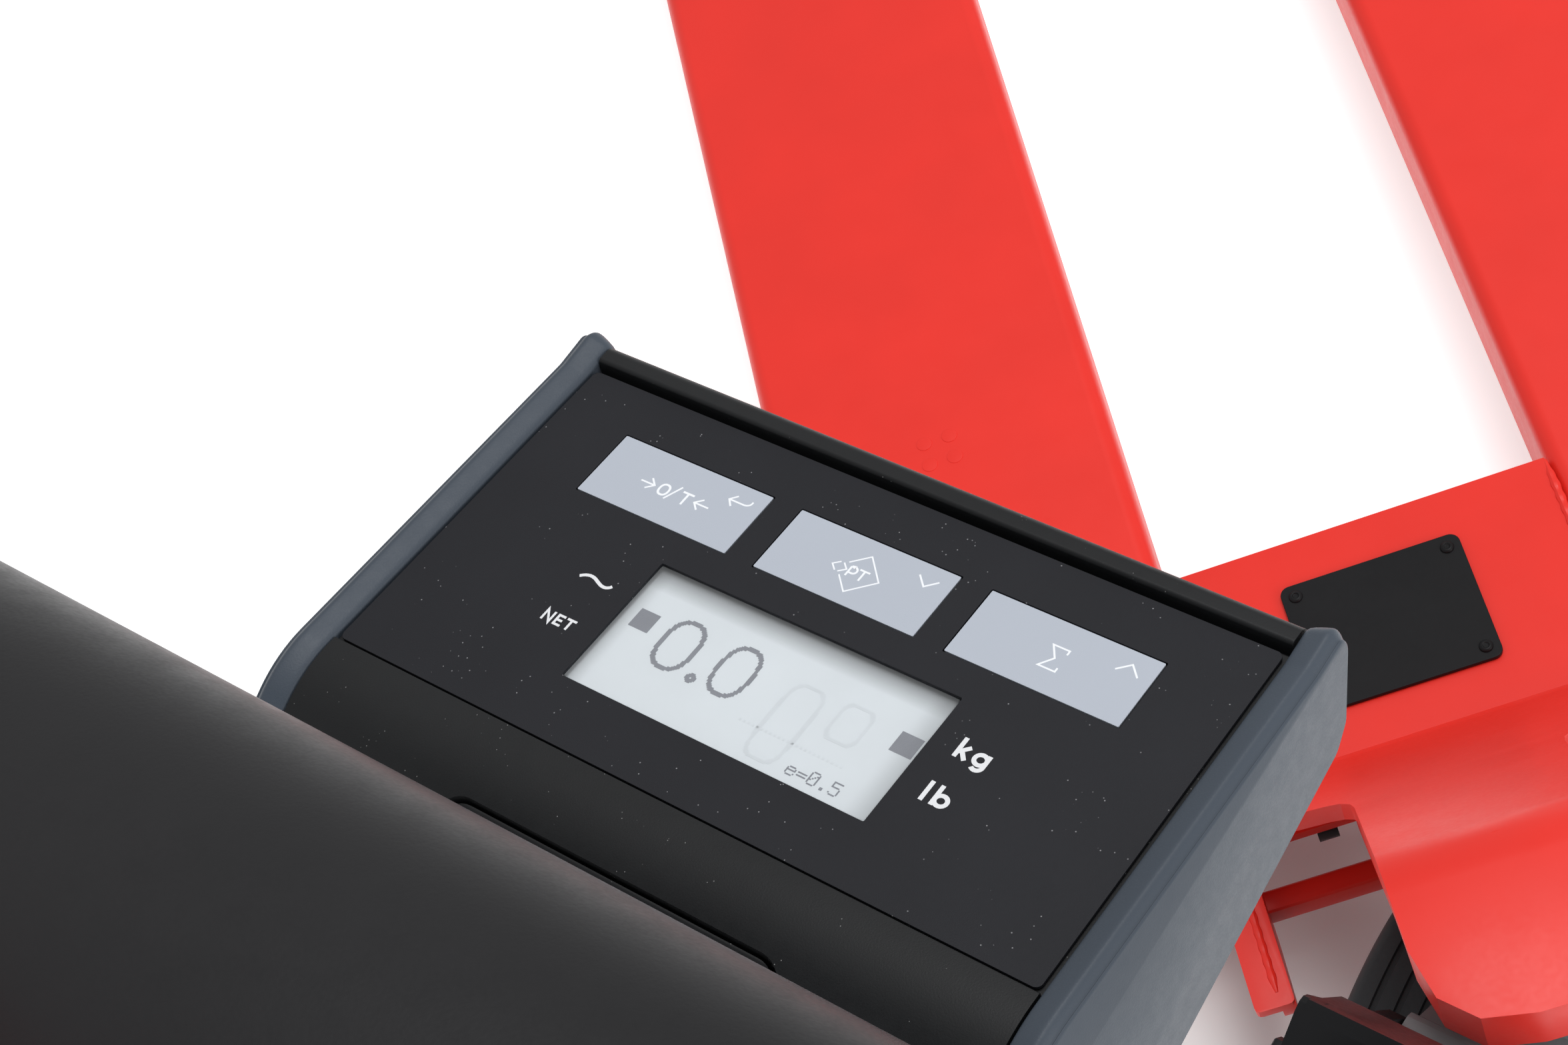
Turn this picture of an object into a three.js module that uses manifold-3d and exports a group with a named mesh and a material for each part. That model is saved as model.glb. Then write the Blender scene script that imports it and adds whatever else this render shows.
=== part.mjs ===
// Weighing hand pallet truck: two forks on load cells, a lifting pump unit that steers, and a tiller
// that carries the weighing indicator. Millimetres, +Y along the forks, +X to the right, +Z up.
import * as THREE from "three";
import { mergeVertices } from "three/addons/utils/BufferGeometryUtils.js";
import Module from "manifold-3d";

const wasm = await Module();
wasm.setup();

// ---- Driving dimensions ----
const GAP = 0.3; // clearance between touching pieces
const SIDES = [-1, 1];
const SIDE_NAME = { "-1": "left", 1: "right" };

// Forks. y = 0 is the steering axis until the whole truck is centred at the end.
const FORK_WIDTH = 180;
const TRUCK_WIDTH = 555;
const FORK_X = (TRUCK_WIDTH - FORK_WIDTH) / 2; // centre line of each fork
const FORK_GAP = TRUCK_WIDTH - 2 * FORK_WIDTH;
const FORK_TOP = 90; // lowered height of the load surface
const FORK_TIP_Y = 1260;
const HEEL_Y = 303; // front edge of the cross plate
const CROSS_REAR_Y = 150;
const SHELL_T = 5;
const SHELL_LOW = 42;
const NOSE_SLOPE = 60;
const NOSE_DROP = 26;
const CORE_HALF = 82;
const CORE_TOP = 83;
const CORE_LOW = 40;
const CORE_T = 5;
const CORE_REAR_Y = 160;
const CORE_FRONT_Y = FORK_TIP_Y - NOSE_SLOPE - 3;

// Load cells
const CELL = { width: 30, length: 120, low: 58.7, top: FORK_TOP - SHELL_T - GAP };
const CELL_Y = [380, 800];

// Load rollers, their arms, and the link rods that turn the arms
const ROLLER_R = 37;
const ROLLER_HALF = 40;
const ROLLER_Y = 1140;
const ARM_PIVOT = { y: 977, z: 60 };
const ARM_PLATE = 6;
const ARM_IN = ROLLER_HALF + 1.5;
const CRANK = 32; // crank radius of the arms and of the rocker
const ROD_OFFSET = 56; // rod centre line, from the centre line of its fork
const ROD_R = 7;
const CRANK_PIN_R = 6;
const ROCKER = { y: 180, z: 60, r: 12 };

// Head of the chassis over the lifting ram
const HEAD_TOP = 290;
const HEAD_T = 8;
const RISE_Y = 180;
const HEAD_FRONT_Y = 30;
const HEAD_REAR_Y = -46;
const NECK_HALF = 46;
const SHOULDER_Y = 123;
const FLANGE_T = 6;
const FLANGE_DEPTH = 30;
const OVER_HEAD = [20, 400]; // heights below and above everything in the head

// Junction box of the load cells, under the cross plate, and the cover plate over it
const BOX = { half: 36, y0: 212, y1: 270, low: 52 };
const COVER_PLATE = { half: 45, y0: 205, y1: 277, t: 2.5 };

// Edge members behind the cross plate: two angle sections and the tie bar between them
const EDGE = { rear: 73, flange: 117, t: 6, inset: 7 };
const TIE = { y0: 127, y1: 139, z0: 52, z1: 66 };

// Steering and pump unit, in its own frame: -y is the side of the tiller
const STEER_YAW = THREE.MathUtils.degToRad(-45);
const WHEEL_R = 90;
const WHEEL_IN = 30;
const WHEEL_WIDTH = 45;
const TYRE_T = 16;
const AXLE_R = 12.5;
const YOKE_HALF = 27;
const CYLINDER_R = 29;
const RAM_R = 17.5;
const RAM_TOP = 270;
const TILLER_PIVOT = { y: -60, z: 235 };
const PIVOT_R = 8;
const CAM = { y: -90, z: 241, r: 11, half: 12 };
const PLUNGER_R = 9;

// Tiller
const LEAN = THREE.MathUtils.degToRad(25.5);
const TUBE_R = 17;
const TUBE_BEND = { y: -350, z: 843 };
const HEAD_BAR = { y: -343, z: 985, depth: 49.5, height: 29, half: 150 };

// Weighing indicator, in its own frame: x right, y up the face, z out of the face
const IND = { y: -206, z: 836, tilt: THREE.MathUtils.degToRad(-12.6) };
const FOIL_HALF = 85;
const FACE_HALF = 42.5;
const FOIL_T = 0.8;
const WALL = 3;
const CAP_T = 8.4;
const KEY = { width: 40, height: 17.7, y: 21.5, pitch: 46.8, x: -46.6, travel: 0.5 };
const WINDOW = { left: -36.8, right: 37.1, low: -28, high: 4.8 };
const GLAND = { x: 52, y: 22, r: 6 };
const FOLD = { y: -45, r: 28, z: 1.3, angle: THREE.MathUtils.degToRad(30), end: -80 }; // rounded near edge
const COVER = { half: 41.5, depth: 0.6, t: 2.8 }; // battery cover in the near slope

// ---- Finishes ----
function finish(color, roughness, metalness = 0) {
  return new THREE.MeshStandardMaterial({ color, roughness, metalness });
}
const RED = finish(0xe2352c, 0.4);
const DARK_RED = finish(0xb92a24, 0.5);
const BLACK = finish(0x2a2b2d, 0.55);
const ANTHRACITE = finish(0x1e1f20, 0.6);
const FOIL = finish(0x2e3033, 0.5);
const CAP_GREY = finish(0x565c62, 0.5);
const KEY_GREY = finish(0xb4bac3, 0.5);
const LCD = finish(0xcdd4d7, 0.3);
const STEEL = finish(0x9a9da0, 0.35, 1);
const CHROME = finish(0xd0d2d4, 0.15, 1);
const CAST = finish(0x6d7073, 0.55, 0.6);
const POLYURETHANE = finish(0x8a4a2c, 0.5);
const RUBBER = finish(0x26262a, 0.8);
const BOARD = finish(0x1e6b45, 0.5);

// ---- Shape helpers ----
function solid(geometry) {
  const bare = geometry.index ? geometry.toNonIndexed() : geometry.clone();
  const positions = new THREE.BufferGeometry().setAttribute("position", bare.getAttribute("position"));
  const merged = mergeVertices(positions, 1e-4);
  const triVerts = new Uint32Array(merged.index.array);
  return new wasm.Manifold(
    new wasm.Mesh({ numProp: 3, vertProperties: merged.attributes.position.array, triVerts }),
  );
}

function geometryOf(shape) {
  const mesh = shape.getMesh();
  const geometry = new THREE.BufferGeometry();
  geometry.setAttribute("position", new THREE.BufferAttribute(mesh.vertProperties, 3));
  geometry.setIndex(new THREE.BufferAttribute(mesh.triVerts, 1));
  const flat = geometry.toNonIndexed();
  flat.computeVertexNormals();
  return flat;
}

const join = (first, ...rest) => rest.reduce((all, next) => all.add(next), first);
const cut = (first, ...rest) => rest.reduce((all, next) => all.subtract(next), first);

function block(x0, x1, y0, y1, z0, z1) {
  const box = new THREE.BoxGeometry(x1 - x0, y1 - y0, z1 - z0);
  return solid(box.translate((x0 + x1) / 2, (y0 + y1) / 2, (z0 + z1) / 2));
}

// A cylinder along an axis, from a to b on it, through the point (u, v) of the other two axes.
function rod(axis, radius, a, b, u = 0, v = 0, sides = 16) {
  const tube = new THREE.CylinderGeometry(radius, radius, b - a, sides).translate(0, (a + b) / 2, 0);
  if (axis === "x") tube.rotateZ(-Math.PI / 2).translate(0, u, v);
  if (axis === "y") tube.translate(u, 0, v);
  if (axis === "z") tube.rotateX(Math.PI / 2).translate(u, v, 0);
  return solid(tube);
}

// Corner points with an optional third value, the corner's radius, as a list of plain points.
function rounded(corners, steps = 3) {
  const points = [];
  corners.forEach(([x, y, radius = 0], i) => {
    const here = new THREE.Vector2(x, y);
    if (!radius) {
      points.push(here);
      return;
    }
    const before = new THREE.Vector2(...corners.at(i - 1).slice(0, 2)).sub(here);
    const after = new THREE.Vector2(...corners[(i + 1) % corners.length].slice(0, 2)).sub(here);
    const cosine = before.dot(after) / before.length() / after.length();
    const half = Math.acos(THREE.MathUtils.clamp(cosine, -1, 1)) / 2;
    const reach = Math.min(radius / Math.tan(half), 0.49 * before.length(), 0.49 * after.length());
    const from = before.setLength(reach).add(here);
    const to = after.setLength(reach).add(here);
    const bend = new THREE.QuadraticBezierCurve(from, here, to);
    points.push(...bend.getPoints(steps));
  });
  return points;
}

function extruded(points, depth) {
  return new THREE.ExtrudeGeometry(new THREE.Shape(points), { depth, bevelEnabled: false });
}

// Prisms: the outline is given in the two axes that the prism doesn't run along, in x, y, z order.
function prismX(corners, x0, x1) {
  const shape = extruded(rounded(corners), x1 - x0);
  const turn = new THREE.Matrix4().makeBasis(
    new THREE.Vector3(0, 1, 0),
    new THREE.Vector3(0, 0, 1),
    new THREE.Vector3(1, 0, 0),
  );
  return solid(shape.applyMatrix4(turn).translate(x0, 0, 0));
}

function prismY(corners, y0, y1) {
  const shape = extruded(rounded(corners), y1 - y0);
  return solid(shape.rotateX(Math.PI / 2).translate(0, y1, 0));
}

function prismZ(corners, z0, z1) {
  return solid(extruded(rounded(corners), z1 - z0).translate(0, 0, z0));
}

function rectangle(x0, x1, y0, y1, radius = 0) {
  return [[x0, y0, radius], [x1, y0, radius], [x1, y1, radius], [x0, y1, radius]];
}

// A round bar along a smooth path of [x, y, z] points.
function bar(points, radius, steps, sides = 12) {
  const path = new THREE.CatmullRomCurve3(points.map((p) => new THREE.Vector3(...p)), false, "centripetal");
  const circle = new THREE.Shape(
    Array.from({ length: sides }, (_, i) => {
      const angle = (i / sides) * 2 * Math.PI;
      return new THREE.Vector2(radius * Math.cos(angle), radius * Math.sin(angle));
    }),
  );
  return solid(new THREE.ExtrudeGeometry(circle, { steps, extrudePath: path }));
}

function add(group, name, shape, material) {
  const mesh = new THREE.Mesh(geometryOf(shape), material);
  mesh.name = name;
  group.add(mesh);
}

const truck = new THREE.Group();
const steering = new THREE.Group();
steering.rotation.z = STEER_YAW;
const indicator = new THREE.Group();
indicator.position.set(0, IND.y, IND.z);
indicator.rotation.x = IND.tilt;
steering.add(indicator);
truck.add(steering);

// ---- Forks ----
function forkShell(side) {
  const x = side * FORK_X;
  const outer = x + (side * FORK_WIDTH) / 2;
  const inner = x - (side * FORK_WIDTH) / 2;
  const [x0, x1] = [Math.min(outer, inner), Math.max(outer, inner)];
  const plan = prismZ(
    [
      [x0, CROSS_REAR_Y],
      [x1, CROSS_REAR_Y],
      [x1, FORK_TIP_Y, 42],
      [x0, FORK_TIP_Y, 42],
    ],
    SHELL_LOW,
    FORK_TOP,
  );
  const body = prismY(
    [
      [x0, SHELL_LOW],
      [x1, SHELL_LOW],
      [x1, FORK_TOP, 6],
      [x0, FORK_TOP, 6],
    ],
    CROSS_REAR_Y,
    FORK_TIP_Y,
  ).intersect(plan);
  const hollow = block(
    x0 + SHELL_T, x1 - SHELL_T, CROSS_REAR_Y - 1, FORK_TIP_Y - NOSE_SLOPE, SHELL_LOW - 1, FORK_TOP - SHELL_T,
  );
  const noseHollow = prismZ(
    [
      [x0 + SHELL_T, FORK_TIP_Y - NOSE_SLOPE - 1],
      [x1 - SHELL_T, FORK_TIP_Y - NOSE_SLOPE - 1],
      [x1 - SHELL_T, FORK_TIP_Y - SHELL_T, 38],
      [x0 + SHELL_T, FORK_TIP_Y - SHELL_T, 38],
    ],
    SHELL_LOW - 1,
    FORK_TOP - NOSE_DROP - SHELL_T,
  );
  const noseCut = prismX(
    [
      [FORK_TIP_Y - NOSE_SLOPE, FORK_TOP],
      [FORK_TIP_Y + 1, FORK_TOP - NOSE_DROP],
      [FORK_TIP_Y + 1, FORK_TOP + 1],
      [FORK_TIP_Y - NOSE_SLOPE, FORK_TOP + 1],
    ],
    x0 - 1,
    x1 + 1,
  );
  const [notch0, notch1] = [inner - side, inner + side * (SHELL_T + 1)].sort((a, b) => a - b);
  const heelNotch = block(notch0, notch1, CROSS_REAR_Y - 1, HEEL_Y + 2, SHELL_LOW - 1, FORK_TOP - SHELL_T);
  return cut(body, hollow, noseHollow, noseCut, heelNotch);
}

function forkCore(side) {
  const x = side * FORK_X;
  const body = cut(
    block(x - CORE_HALF, x + CORE_HALF, CORE_REAR_Y, CORE_FRONT_Y, CORE_LOW, CORE_TOP),
    block(
      x - CORE_HALF + CORE_T, x + CORE_HALF - CORE_T,
      CORE_REAR_Y - 1, CORE_FRONT_Y + 1, CORE_LOW - 1, CORE_TOP - CORE_T,
    ),
  );
  const seats = CELL_Y.map((y) =>
    block(x - CORE_HALF + 1, x + CORE_HALF - 1, y - 55, y - 25, CELL.low - 6, CELL.low - GAP),
  );
  const pockets = CELL_Y.map((y) =>
    block(
      x - CELL.width / 2 - GAP, x + CELL.width / 2 + GAP,
      y - CELL.length / 2 - GAP, y + CELL.length / 2 + GAP, CELL.low, CORE_TOP + 1,
    ),
  );
  const pinHole = rod("x", PIVOT_R + GAP, x - 90, x + 90, ARM_PIVOT.y, ARM_PIVOT.z);
  const inwards = x - side * CORE_HALF;
  const shaftHole = rod("x", ROCKER.r + 0.5, inwards - 8, inwards + 8, ROCKER.y, ROCKER.z);
  return cut(join(body, ...seats), ...pockets, pinHole, shaftHole);
}

function loadCell(side, y) {
  const x = side * FORK_X;
  const half = CELL.width / 2;
  const body = block(x - half, x + half, y - CELL.length / 2, y + CELL.length / 2, CELL.low, CELL.top - 2);
  const button = rod("z", 10, CELL.top - 3, CELL.top, x, y + 45);
  const window = rod("x", 8, x - 20, x + 20, y, (CELL.low + CELL.top) / 2);
  return join(cut(body, window), button);
}

function rollerArm(side) {
  const x = side * FORK_X;
  const plateAt = (x0) =>
    prismX(
      [
        [ARM_PIVOT.y - 15, ARM_PIVOT.z + 15, 12],
        [ARM_PIVOT.y - 15, ARM_PIVOT.z - 15, 12],
        [ROLLER_Y - 10, ROLLER_R - 14, 10],
        [ROLLER_Y + 16, ROLLER_R - 14, 12],
        [ROLLER_Y + 16, ROLLER_R + 14, 12],
        [ROLLER_Y - 10, ROLLER_R + 14, 10],
      ],
      x0,
      x0 + ARM_PLATE,
    );
  const inner = side * (ARM_IN + ARM_PLATE / 2);
  const lugX = x + inner;
  const lug = prismX(
    [
      [ARM_PIVOT.y - 11, ARM_PIVOT.z],
      [ARM_PIVOT.y - 9, ARM_PIVOT.z - CRANK - 9, 6],
      [ARM_PIVOT.y + 9, ARM_PIVOT.z - CRANK - 9, 6],
      [ARM_PIVOT.y + 14, ARM_PIVOT.z],
    ],
    lugX - ARM_PLATE / 2,
    lugX + ARM_PLATE / 2,
  );
  const pinEnd = x + side * (ROD_OFFSET + 7);
  const crankPin = rod(
    "x", CRANK_PIN_R, Math.min(lugX, pinEnd), Math.max(lugX, pinEnd), ARM_PIVOT.y, ARM_PIVOT.z - CRANK, 16,
  );
  const sleeve = rod("x", 13, x - ARM_IN - 1, x + ARM_IN + 1, ARM_PIVOT.y, ARM_PIVOT.z);
  return cut(
    join(plateAt(x - ARM_IN - ARM_PLATE), plateAt(x + ARM_IN), lug, crankPin, sleeve),
    rod("x", PIVOT_R + GAP, x - 55, x + 55, ARM_PIVOT.y, ARM_PIVOT.z),
    rod("x", 10 + GAP, x - 55, x + 55, ROLLER_Y, ROLLER_R),
  );
}

function loadRoller(side) {
  const x = side * FORK_X;
  const profile = [
    [10.5, -ROLLER_HALF],
    [ROLLER_R - 3, -ROLLER_HALF],
    [ROLLER_R, -ROLLER_HALF + 4],
    [ROLLER_R, ROLLER_HALF - 4],
    [ROLLER_R - 3, ROLLER_HALF],
    [10.5, ROLLER_HALF],
    [10.5, -ROLLER_HALF],
  ].map((p) => new THREE.Vector2(...p));
  const wheel = new THREE.LatheGeometry(profile, 24);
  return solid(wheel.rotateZ(-Math.PI / 2).translate(x, ROLLER_Y, ROLLER_R));
}

// The rod's ends are plates with upright slots, so the crank pins can rise in them as they turn.
function linkRod(side) {
  const x = side * (FORK_X + ROD_OFFSET);
  const low = ARM_PIVOT.z - CRANK;
  const eye = (y) =>
    cut(
      prismX(rectangle(y - 14, y + 14, low - 13, low + 23.6, 8), x - 4, x + 4),
      prismX(rectangle(y - 8.4, y + 8.4, low - 7, low + 18, 3), x - 6, x + 6),
    );
  const shank = rod("y", ROD_R, ROCKER.y + 12, ARM_PIVOT.y - 12, x, low + 4, 12);
  return join(shank, eye(ROCKER.y), eye(ARM_PIVOT.y));
}

function liftRocker() {
  const reach = FORK_X + ROD_OFFSET - 5;
  const shaft = rod("x", ROCKER.r, -reach, reach, ROCKER.y, ROCKER.z);
  const parts = SIDES.flatMap((side) => {
    const x = side * (reach - 6.5);
    const low = ROCKER.z - CRANK;
    const arm = prismX(
      [
        [ROCKER.y - 13, ROCKER.z + 12, 8],
        [ROCKER.y - 9, low - 9, 6],
        [ROCKER.y + 9, low - 9, 6],
        [ROCKER.y + 13, ROCKER.z + 12, 8],
      ],
      x - 4,
      x + 4,
    );
    const pinEnd = side * (FORK_X + ROD_OFFSET + 7);
    const pin = rod("x", CRANK_PIN_R, Math.min(x, pinEnd), Math.max(x, pinEnd), ROCKER.y, low, 16);
    const lever = prismX(
      [
        [ROCKER.y + 16, ROCKER.z - 12, 8],
        [ROCKER.y + 12, ROCKER.z + 14, 8],
        [ROCKER.y - 21, ROCKER.z + 8, 6],
        [ROCKER.y - 21, ROCKER.z - 8, 6],
      ],
      side * 60 - 5,
      side * 60 + 5,
    );
    return [arm, pin, lever];
  });
  return join(shaft, ...parts);
}

SIDES.forEach((side) => {
  const x = side * FORK_X;
  const name = SIDE_NAME[side];
  add(truck, `fork_shell_${name}`, forkShell(side), RED);
  add(truck, `fork_core_${name}`, forkCore(side), DARK_RED);
  CELL_Y.forEach((y, i) => add(truck, `load_cell_${name}_${i ? "front" : "rear"}`, loadCell(side, y), STEEL));
  add(truck, `roller_arm_${name}`, rollerArm(side), BLACK);
  add(truck, `load_roller_${name}`, loadRoller(side), POLYURETHANE);
  add(truck, `roller_axle_${name}`, rod("x", 10, x - 52, x + 52, ROLLER_Y, ROLLER_R, 20), STEEL);
  add(truck, `arm_pin_${name}`, rod("x", PIVOT_R, x - 81.5, x + 81.5, ARM_PIVOT.y, ARM_PIVOT.z, 20), STEEL);
  add(truck, `link_rod_${name}`, linkRod(side), STEEL);
});
add(truck, "lift_rocker", liftRocker(), BLACK);

// The space that the steering wheels sweep as they turn about the steering axis.
function sweepOfWheels() {
  const reach = WHEEL_IN + WHEEL_WIDTH;
  const profile = [new THREE.Vector2(0, -1)];
  for (let z = 0; z <= 2 * WHEEL_R; z += WHEEL_R / 5) {
    const chord = Math.sqrt(Math.max(0, WHEEL_R ** 2 - (z - WHEEL_R) ** 2));
    profile.push(new THREE.Vector2(Math.hypot(reach, chord) + 4, z));
  }
  profile.push(new THREE.Vector2(0, 2 * WHEEL_R + 4));
  return solid(new THREE.LatheGeometry(profile, 24).rotateX(Math.PI / 2));
}

// ---- Chassis head: cross plate, rising neck and ram seat ----
function chassisHead() {
  const half = FORK_GAP / 2 - GAP;
  const weld = FORK_X - CORE_HALF - GAP;
  const plate = block(-half, half, CROSS_REAR_Y, HEEL_Y, FORK_TOP - 6, FORK_TOP);
  const frontWall = block(-weld, weld, HEEL_Y - 6, HEEL_Y, CORE_LOW, FORK_TOP - 6);
  const rearWall = block(-weld, weld, BOX.y0 - 8, BOX.y0 - 2, CORE_LOW + 8, FORK_TOP - 5);
  const cheeks = SIDES.map((side) =>
    block(
      Math.min(side * weld, side * (weld - 7)), Math.max(side * weld, side * (weld - 7)),
      CROSS_REAR_Y, HEEL_Y, CORE_LOW, FORK_TOP - 5.5,
    ),
  );
  const edges = SIDES.flatMap((side) => {
    const [x0, x1] = [side * (weld - EDGE.inset), side * weld].sort((a, b) => a - b);
    const [f0, f1] = [side * (weld - EDGE.inset), side * EDGE.flange].sort((a, b) => a - b);
    const top = FORK_TOP - 5.5;
    const web = prismX(
      [
        [CROSS_REAR_Y + 2, top],
        [EDGE.rear, top, 6],
        [EDGE.rear, top - 16, 10],
        [TIE.y0 - 8, CORE_LOW + 6, 14],
        [CROSS_REAR_Y + 2, CORE_LOW + 6],
      ],
      x0,
      x1,
    );
    const flange = prismZ(rectangle(f0, f1, EDGE.rear, CROSS_REAR_Y - GAP, 3), top - EDGE.t, top);
    return [web, flange];
  });
  const tie = prismX(rectangle(TIE.y0, TIE.y1, TIE.z0, TIE.z1, 3), -weld, weld);
  const plan = prismZ(
    [
      [-half, RISE_Y + 6],
      [-half + 8, SHOULDER_Y, 20],
      [-NECK_HALF, SHOULDER_Y - 8, 14],
      [-NECK_HALF, HEAD_REAR_Y, 38],
      [NECK_HALF, HEAD_REAR_Y, 38],
      [NECK_HALF, SHOULDER_Y - 8, 14],
      [half - 8, SHOULDER_Y, 20],
      [half, RISE_Y + 6],
    ],
    ...OVER_HEAD,
  );
  const side = (depth) =>
    prismX(
      [
        [RISE_Y + 12, FORK_TOP - 3],
        [RISE_Y, FORK_TOP, 12],
        [HEAD_FRONT_Y, HEAD_TOP, 30],
        [HEAD_REAR_Y - 5, HEAD_TOP],
        [HEAD_REAR_Y - 5, HEAD_TOP - depth],
        [HEAD_FRONT_Y - depth * 0.4, HEAD_TOP - depth, 20],
        [RISE_Y - depth * 1.15, FORK_TOP - 6],
        [RISE_Y + 12, FORK_TOP - 6],
      ],
      -200,
      200,
    );
  const sheet = side(HEAD_T).intersect(plan);
  const inside = NECK_HALF - FLANGE_T;
  const hollow = prismZ(
    [
      [-inside, RISE_Y + 1],
      [-inside, HEAD_REAR_Y + FLANGE_T, 38 - FLANGE_T],
      [inside, HEAD_REAR_Y + FLANGE_T, 38 - FLANGE_T],
      [inside, RISE_Y + 1],
    ],
    ...OVER_HEAD,
  );
  const neck = block(-NECK_HALF, NECK_HALF, HEAD_REAR_Y, RISE_Y, ...OVER_HEAD);
  const skirt = cut(side(FLANGE_DEPTH).intersect(plan).intersect(neck), hollow);
  const seat = rod("z", 30, HEAD_TOP - 16, HEAD_TOP - 4, 0, 0, 24);
  const wheelSweep = sweepOfWheels();
  const shaftHole = rod("x", ROCKER.r + 0.5, -130, 130, ROCKER.y, ROCKER.z);
  return cut(
    join(plate, frontWall, rearWall, ...cheeks, ...edges, tie, sheet, skirt, seat),
    wheelSweep, shaftHole,
  );
}
add(truck, "chassis_head", chassisHead(), RED);

add(
  truck,
  "junction_box",
  cut(
    block(-BOX.half, BOX.half, BOX.y0, BOX.y1, BOX.low, FORK_TOP - 6 - GAP),
    block(-BOX.half + 3, BOX.half - 3, BOX.y0 + 3, BOX.y1 - 3, BOX.low + 3, FORK_TOP),
  ),
  CAST,
);
add(
  truck,
  "junction_cover",
  prismZ(
    rectangle(-COVER_PLATE.half, COVER_PLATE.half, COVER_PLATE.y0, COVER_PLATE.y1, 5),
    FORK_TOP + GAP,
    FORK_TOP + GAP + COVER_PLATE.t,
  ),
  BLACK,
);

// ---- Pump unit ----
function pumpBody() {
  const yoke = prismX(rectangle(-30, 30, 58, 134, 14), -YOKE_HALF, YOKE_HALF);
  const cylinder = rod("z", CYLINDER_R, 70, 248, 0, 0, 24);
  const collar = rod("z", CYLINDER_R + 4, 232, 248, 0, 0, 24);
  const tank = prismZ(rectangle(-YOKE_HALF, YOKE_HALF, -105, -8, 14), 104, 186);
  const lug = prismX(
    [
      [-64, 180],
      [-20, 180],
      [-20, 214],
      [-44, TILLER_PIVOT.z, 6],
      [-46, TILLER_PIVOT.z + 14, 10],
      [-74, TILLER_PIVOT.z + 14, 10],
      [-75, TILLER_PIVOT.z - 2, 8],
      [-65, TILLER_PIVOT.z - 18, 4],
    ],
    -YOKE_HALF,
    YOKE_HALF,
  );
  return cut(
    join(yoke, cylinder, collar, tank, lug),
    rod("x", AXLE_R + GAP, -40, 40, 0, WHEEL_R),
    rod("z", RAM_R + GAP, 110, 300, 0, 0, 24),
    rod("z", PLUNGER_R + GAP, 118, 240, 0, CAM.y, 20),
    rod("x", PIVOT_R + GAP, -40, 40, TILLER_PIVOT.y, TILLER_PIVOT.z, 20),
    rod("x", 4 + GAP, 10, 40, -90, 140, 16),
  );
}

function ringX(inner, outer, x0, x1, y, z, sides, chamfer = 0) {
  const profile = [
    [inner, x0],
    [outer - chamfer, x0],
    [outer, x0 + chamfer],
    [outer, x1 - chamfer],
    [outer - chamfer, x1],
    [inner, x1],
    [inner, x0],
  ].map((p) => new THREE.Vector2(...p));
  const unique = profile.filter((p, i) => !i || !p.equals(profile[i - 1]));
  return solid(new THREE.LatheGeometry(unique, sides).rotateZ(-Math.PI / 2).translate(0, y, z));
}

function wheelHub(side) {
  const x0 = Math.min(side * WHEEL_IN, side * (WHEEL_IN + WHEEL_WIDTH));
  const x1 = x0 + WHEEL_WIDTH;
  const rim = ringX(WHEEL_R - TYRE_T - 12, WHEEL_R - TYRE_T - GAP, x0 + 2, x1 - 2, 0, WHEEL_R, 32);
  const web = ringX(AXLE_R + 8, WHEEL_R - TYRE_T - 10, x0 + 15, x1 - 15, 0, WHEEL_R, 24);
  const boss = ringX(AXLE_R + GAP, 24, x0 + 1, x1 - 1, 0, WHEEL_R, 16);
  return join(rim, web, boss);
}

add(steering, "pump_body", pumpBody(), CAST);
add(steering, "lift_ram", rod("z", RAM_R, 125, RAM_TOP - 8, 0, 0, 24), CHROME);
add(steering, "thrust_bearing", rod("z", 26, RAM_TOP - 8 + GAP, HEAD_TOP - 16 - GAP, 0, 0, 24), STEEL);
add(
  steering,
  "pump_plunger",
  join(rod("z", PLUNGER_R, 168, 228, 0, CAM.y, 20), rod("z", 12.5, 223.5, CAM.z - CAM.r - GAP, 0, CAM.y, 24)),
  CHROME,
);
add(
  steering,
  "valve_lever",
  join(
    rod("x", 4, 12, 36, -90, 140, 16),
    prismX(
      [
        [-96, 132, 5],
        [-84, 132, 5],
        [-84, 146, 5],
        [-122, 158, 4],
        [-128, 152, 4],
      ],
      29,
      35,
    ),
  ),
  STEEL,
);
add(steering, "steer_axle", rod("x", AXLE_R, -84, 84, 0, WHEEL_R, 24), STEEL);
SIDES.forEach((side) => {
  const name = SIDE_NAME[side];
  const x0 = Math.min(side * WHEEL_IN, side * (WHEEL_IN + WHEEL_WIDTH));
  add(steering, `wheel_hub_${name}`, wheelHub(side), CAST);
  add(
    steering,
    `wheel_tyre_${name}`,
    ringX(WHEEL_R - TYRE_T, WHEEL_R, x0, x0 + WHEEL_WIDTH, 0, WHEEL_R, 32, 5),
    RUBBER,
  );
  const [c0, c1] = [side * 75.5, side * 81].sort((a, b) => a - b);
  add(steering, `axle_clip_${name}`, ringX(AXLE_R + GAP, 19, c0, c1, 0, WHEEL_R, 16), STEEL);
});

// ---- Tiller ----
// A point at a distance up the tiller from its pivot, and across from its centre line.
function up(along, across) {
  return [
    TILLER_PIVOT.y - along * Math.sin(LEAN) + across * Math.cos(LEAN),
    TILLER_PIVOT.z + along * Math.cos(LEAN) + across * Math.sin(LEAN),
  ];
}

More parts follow.
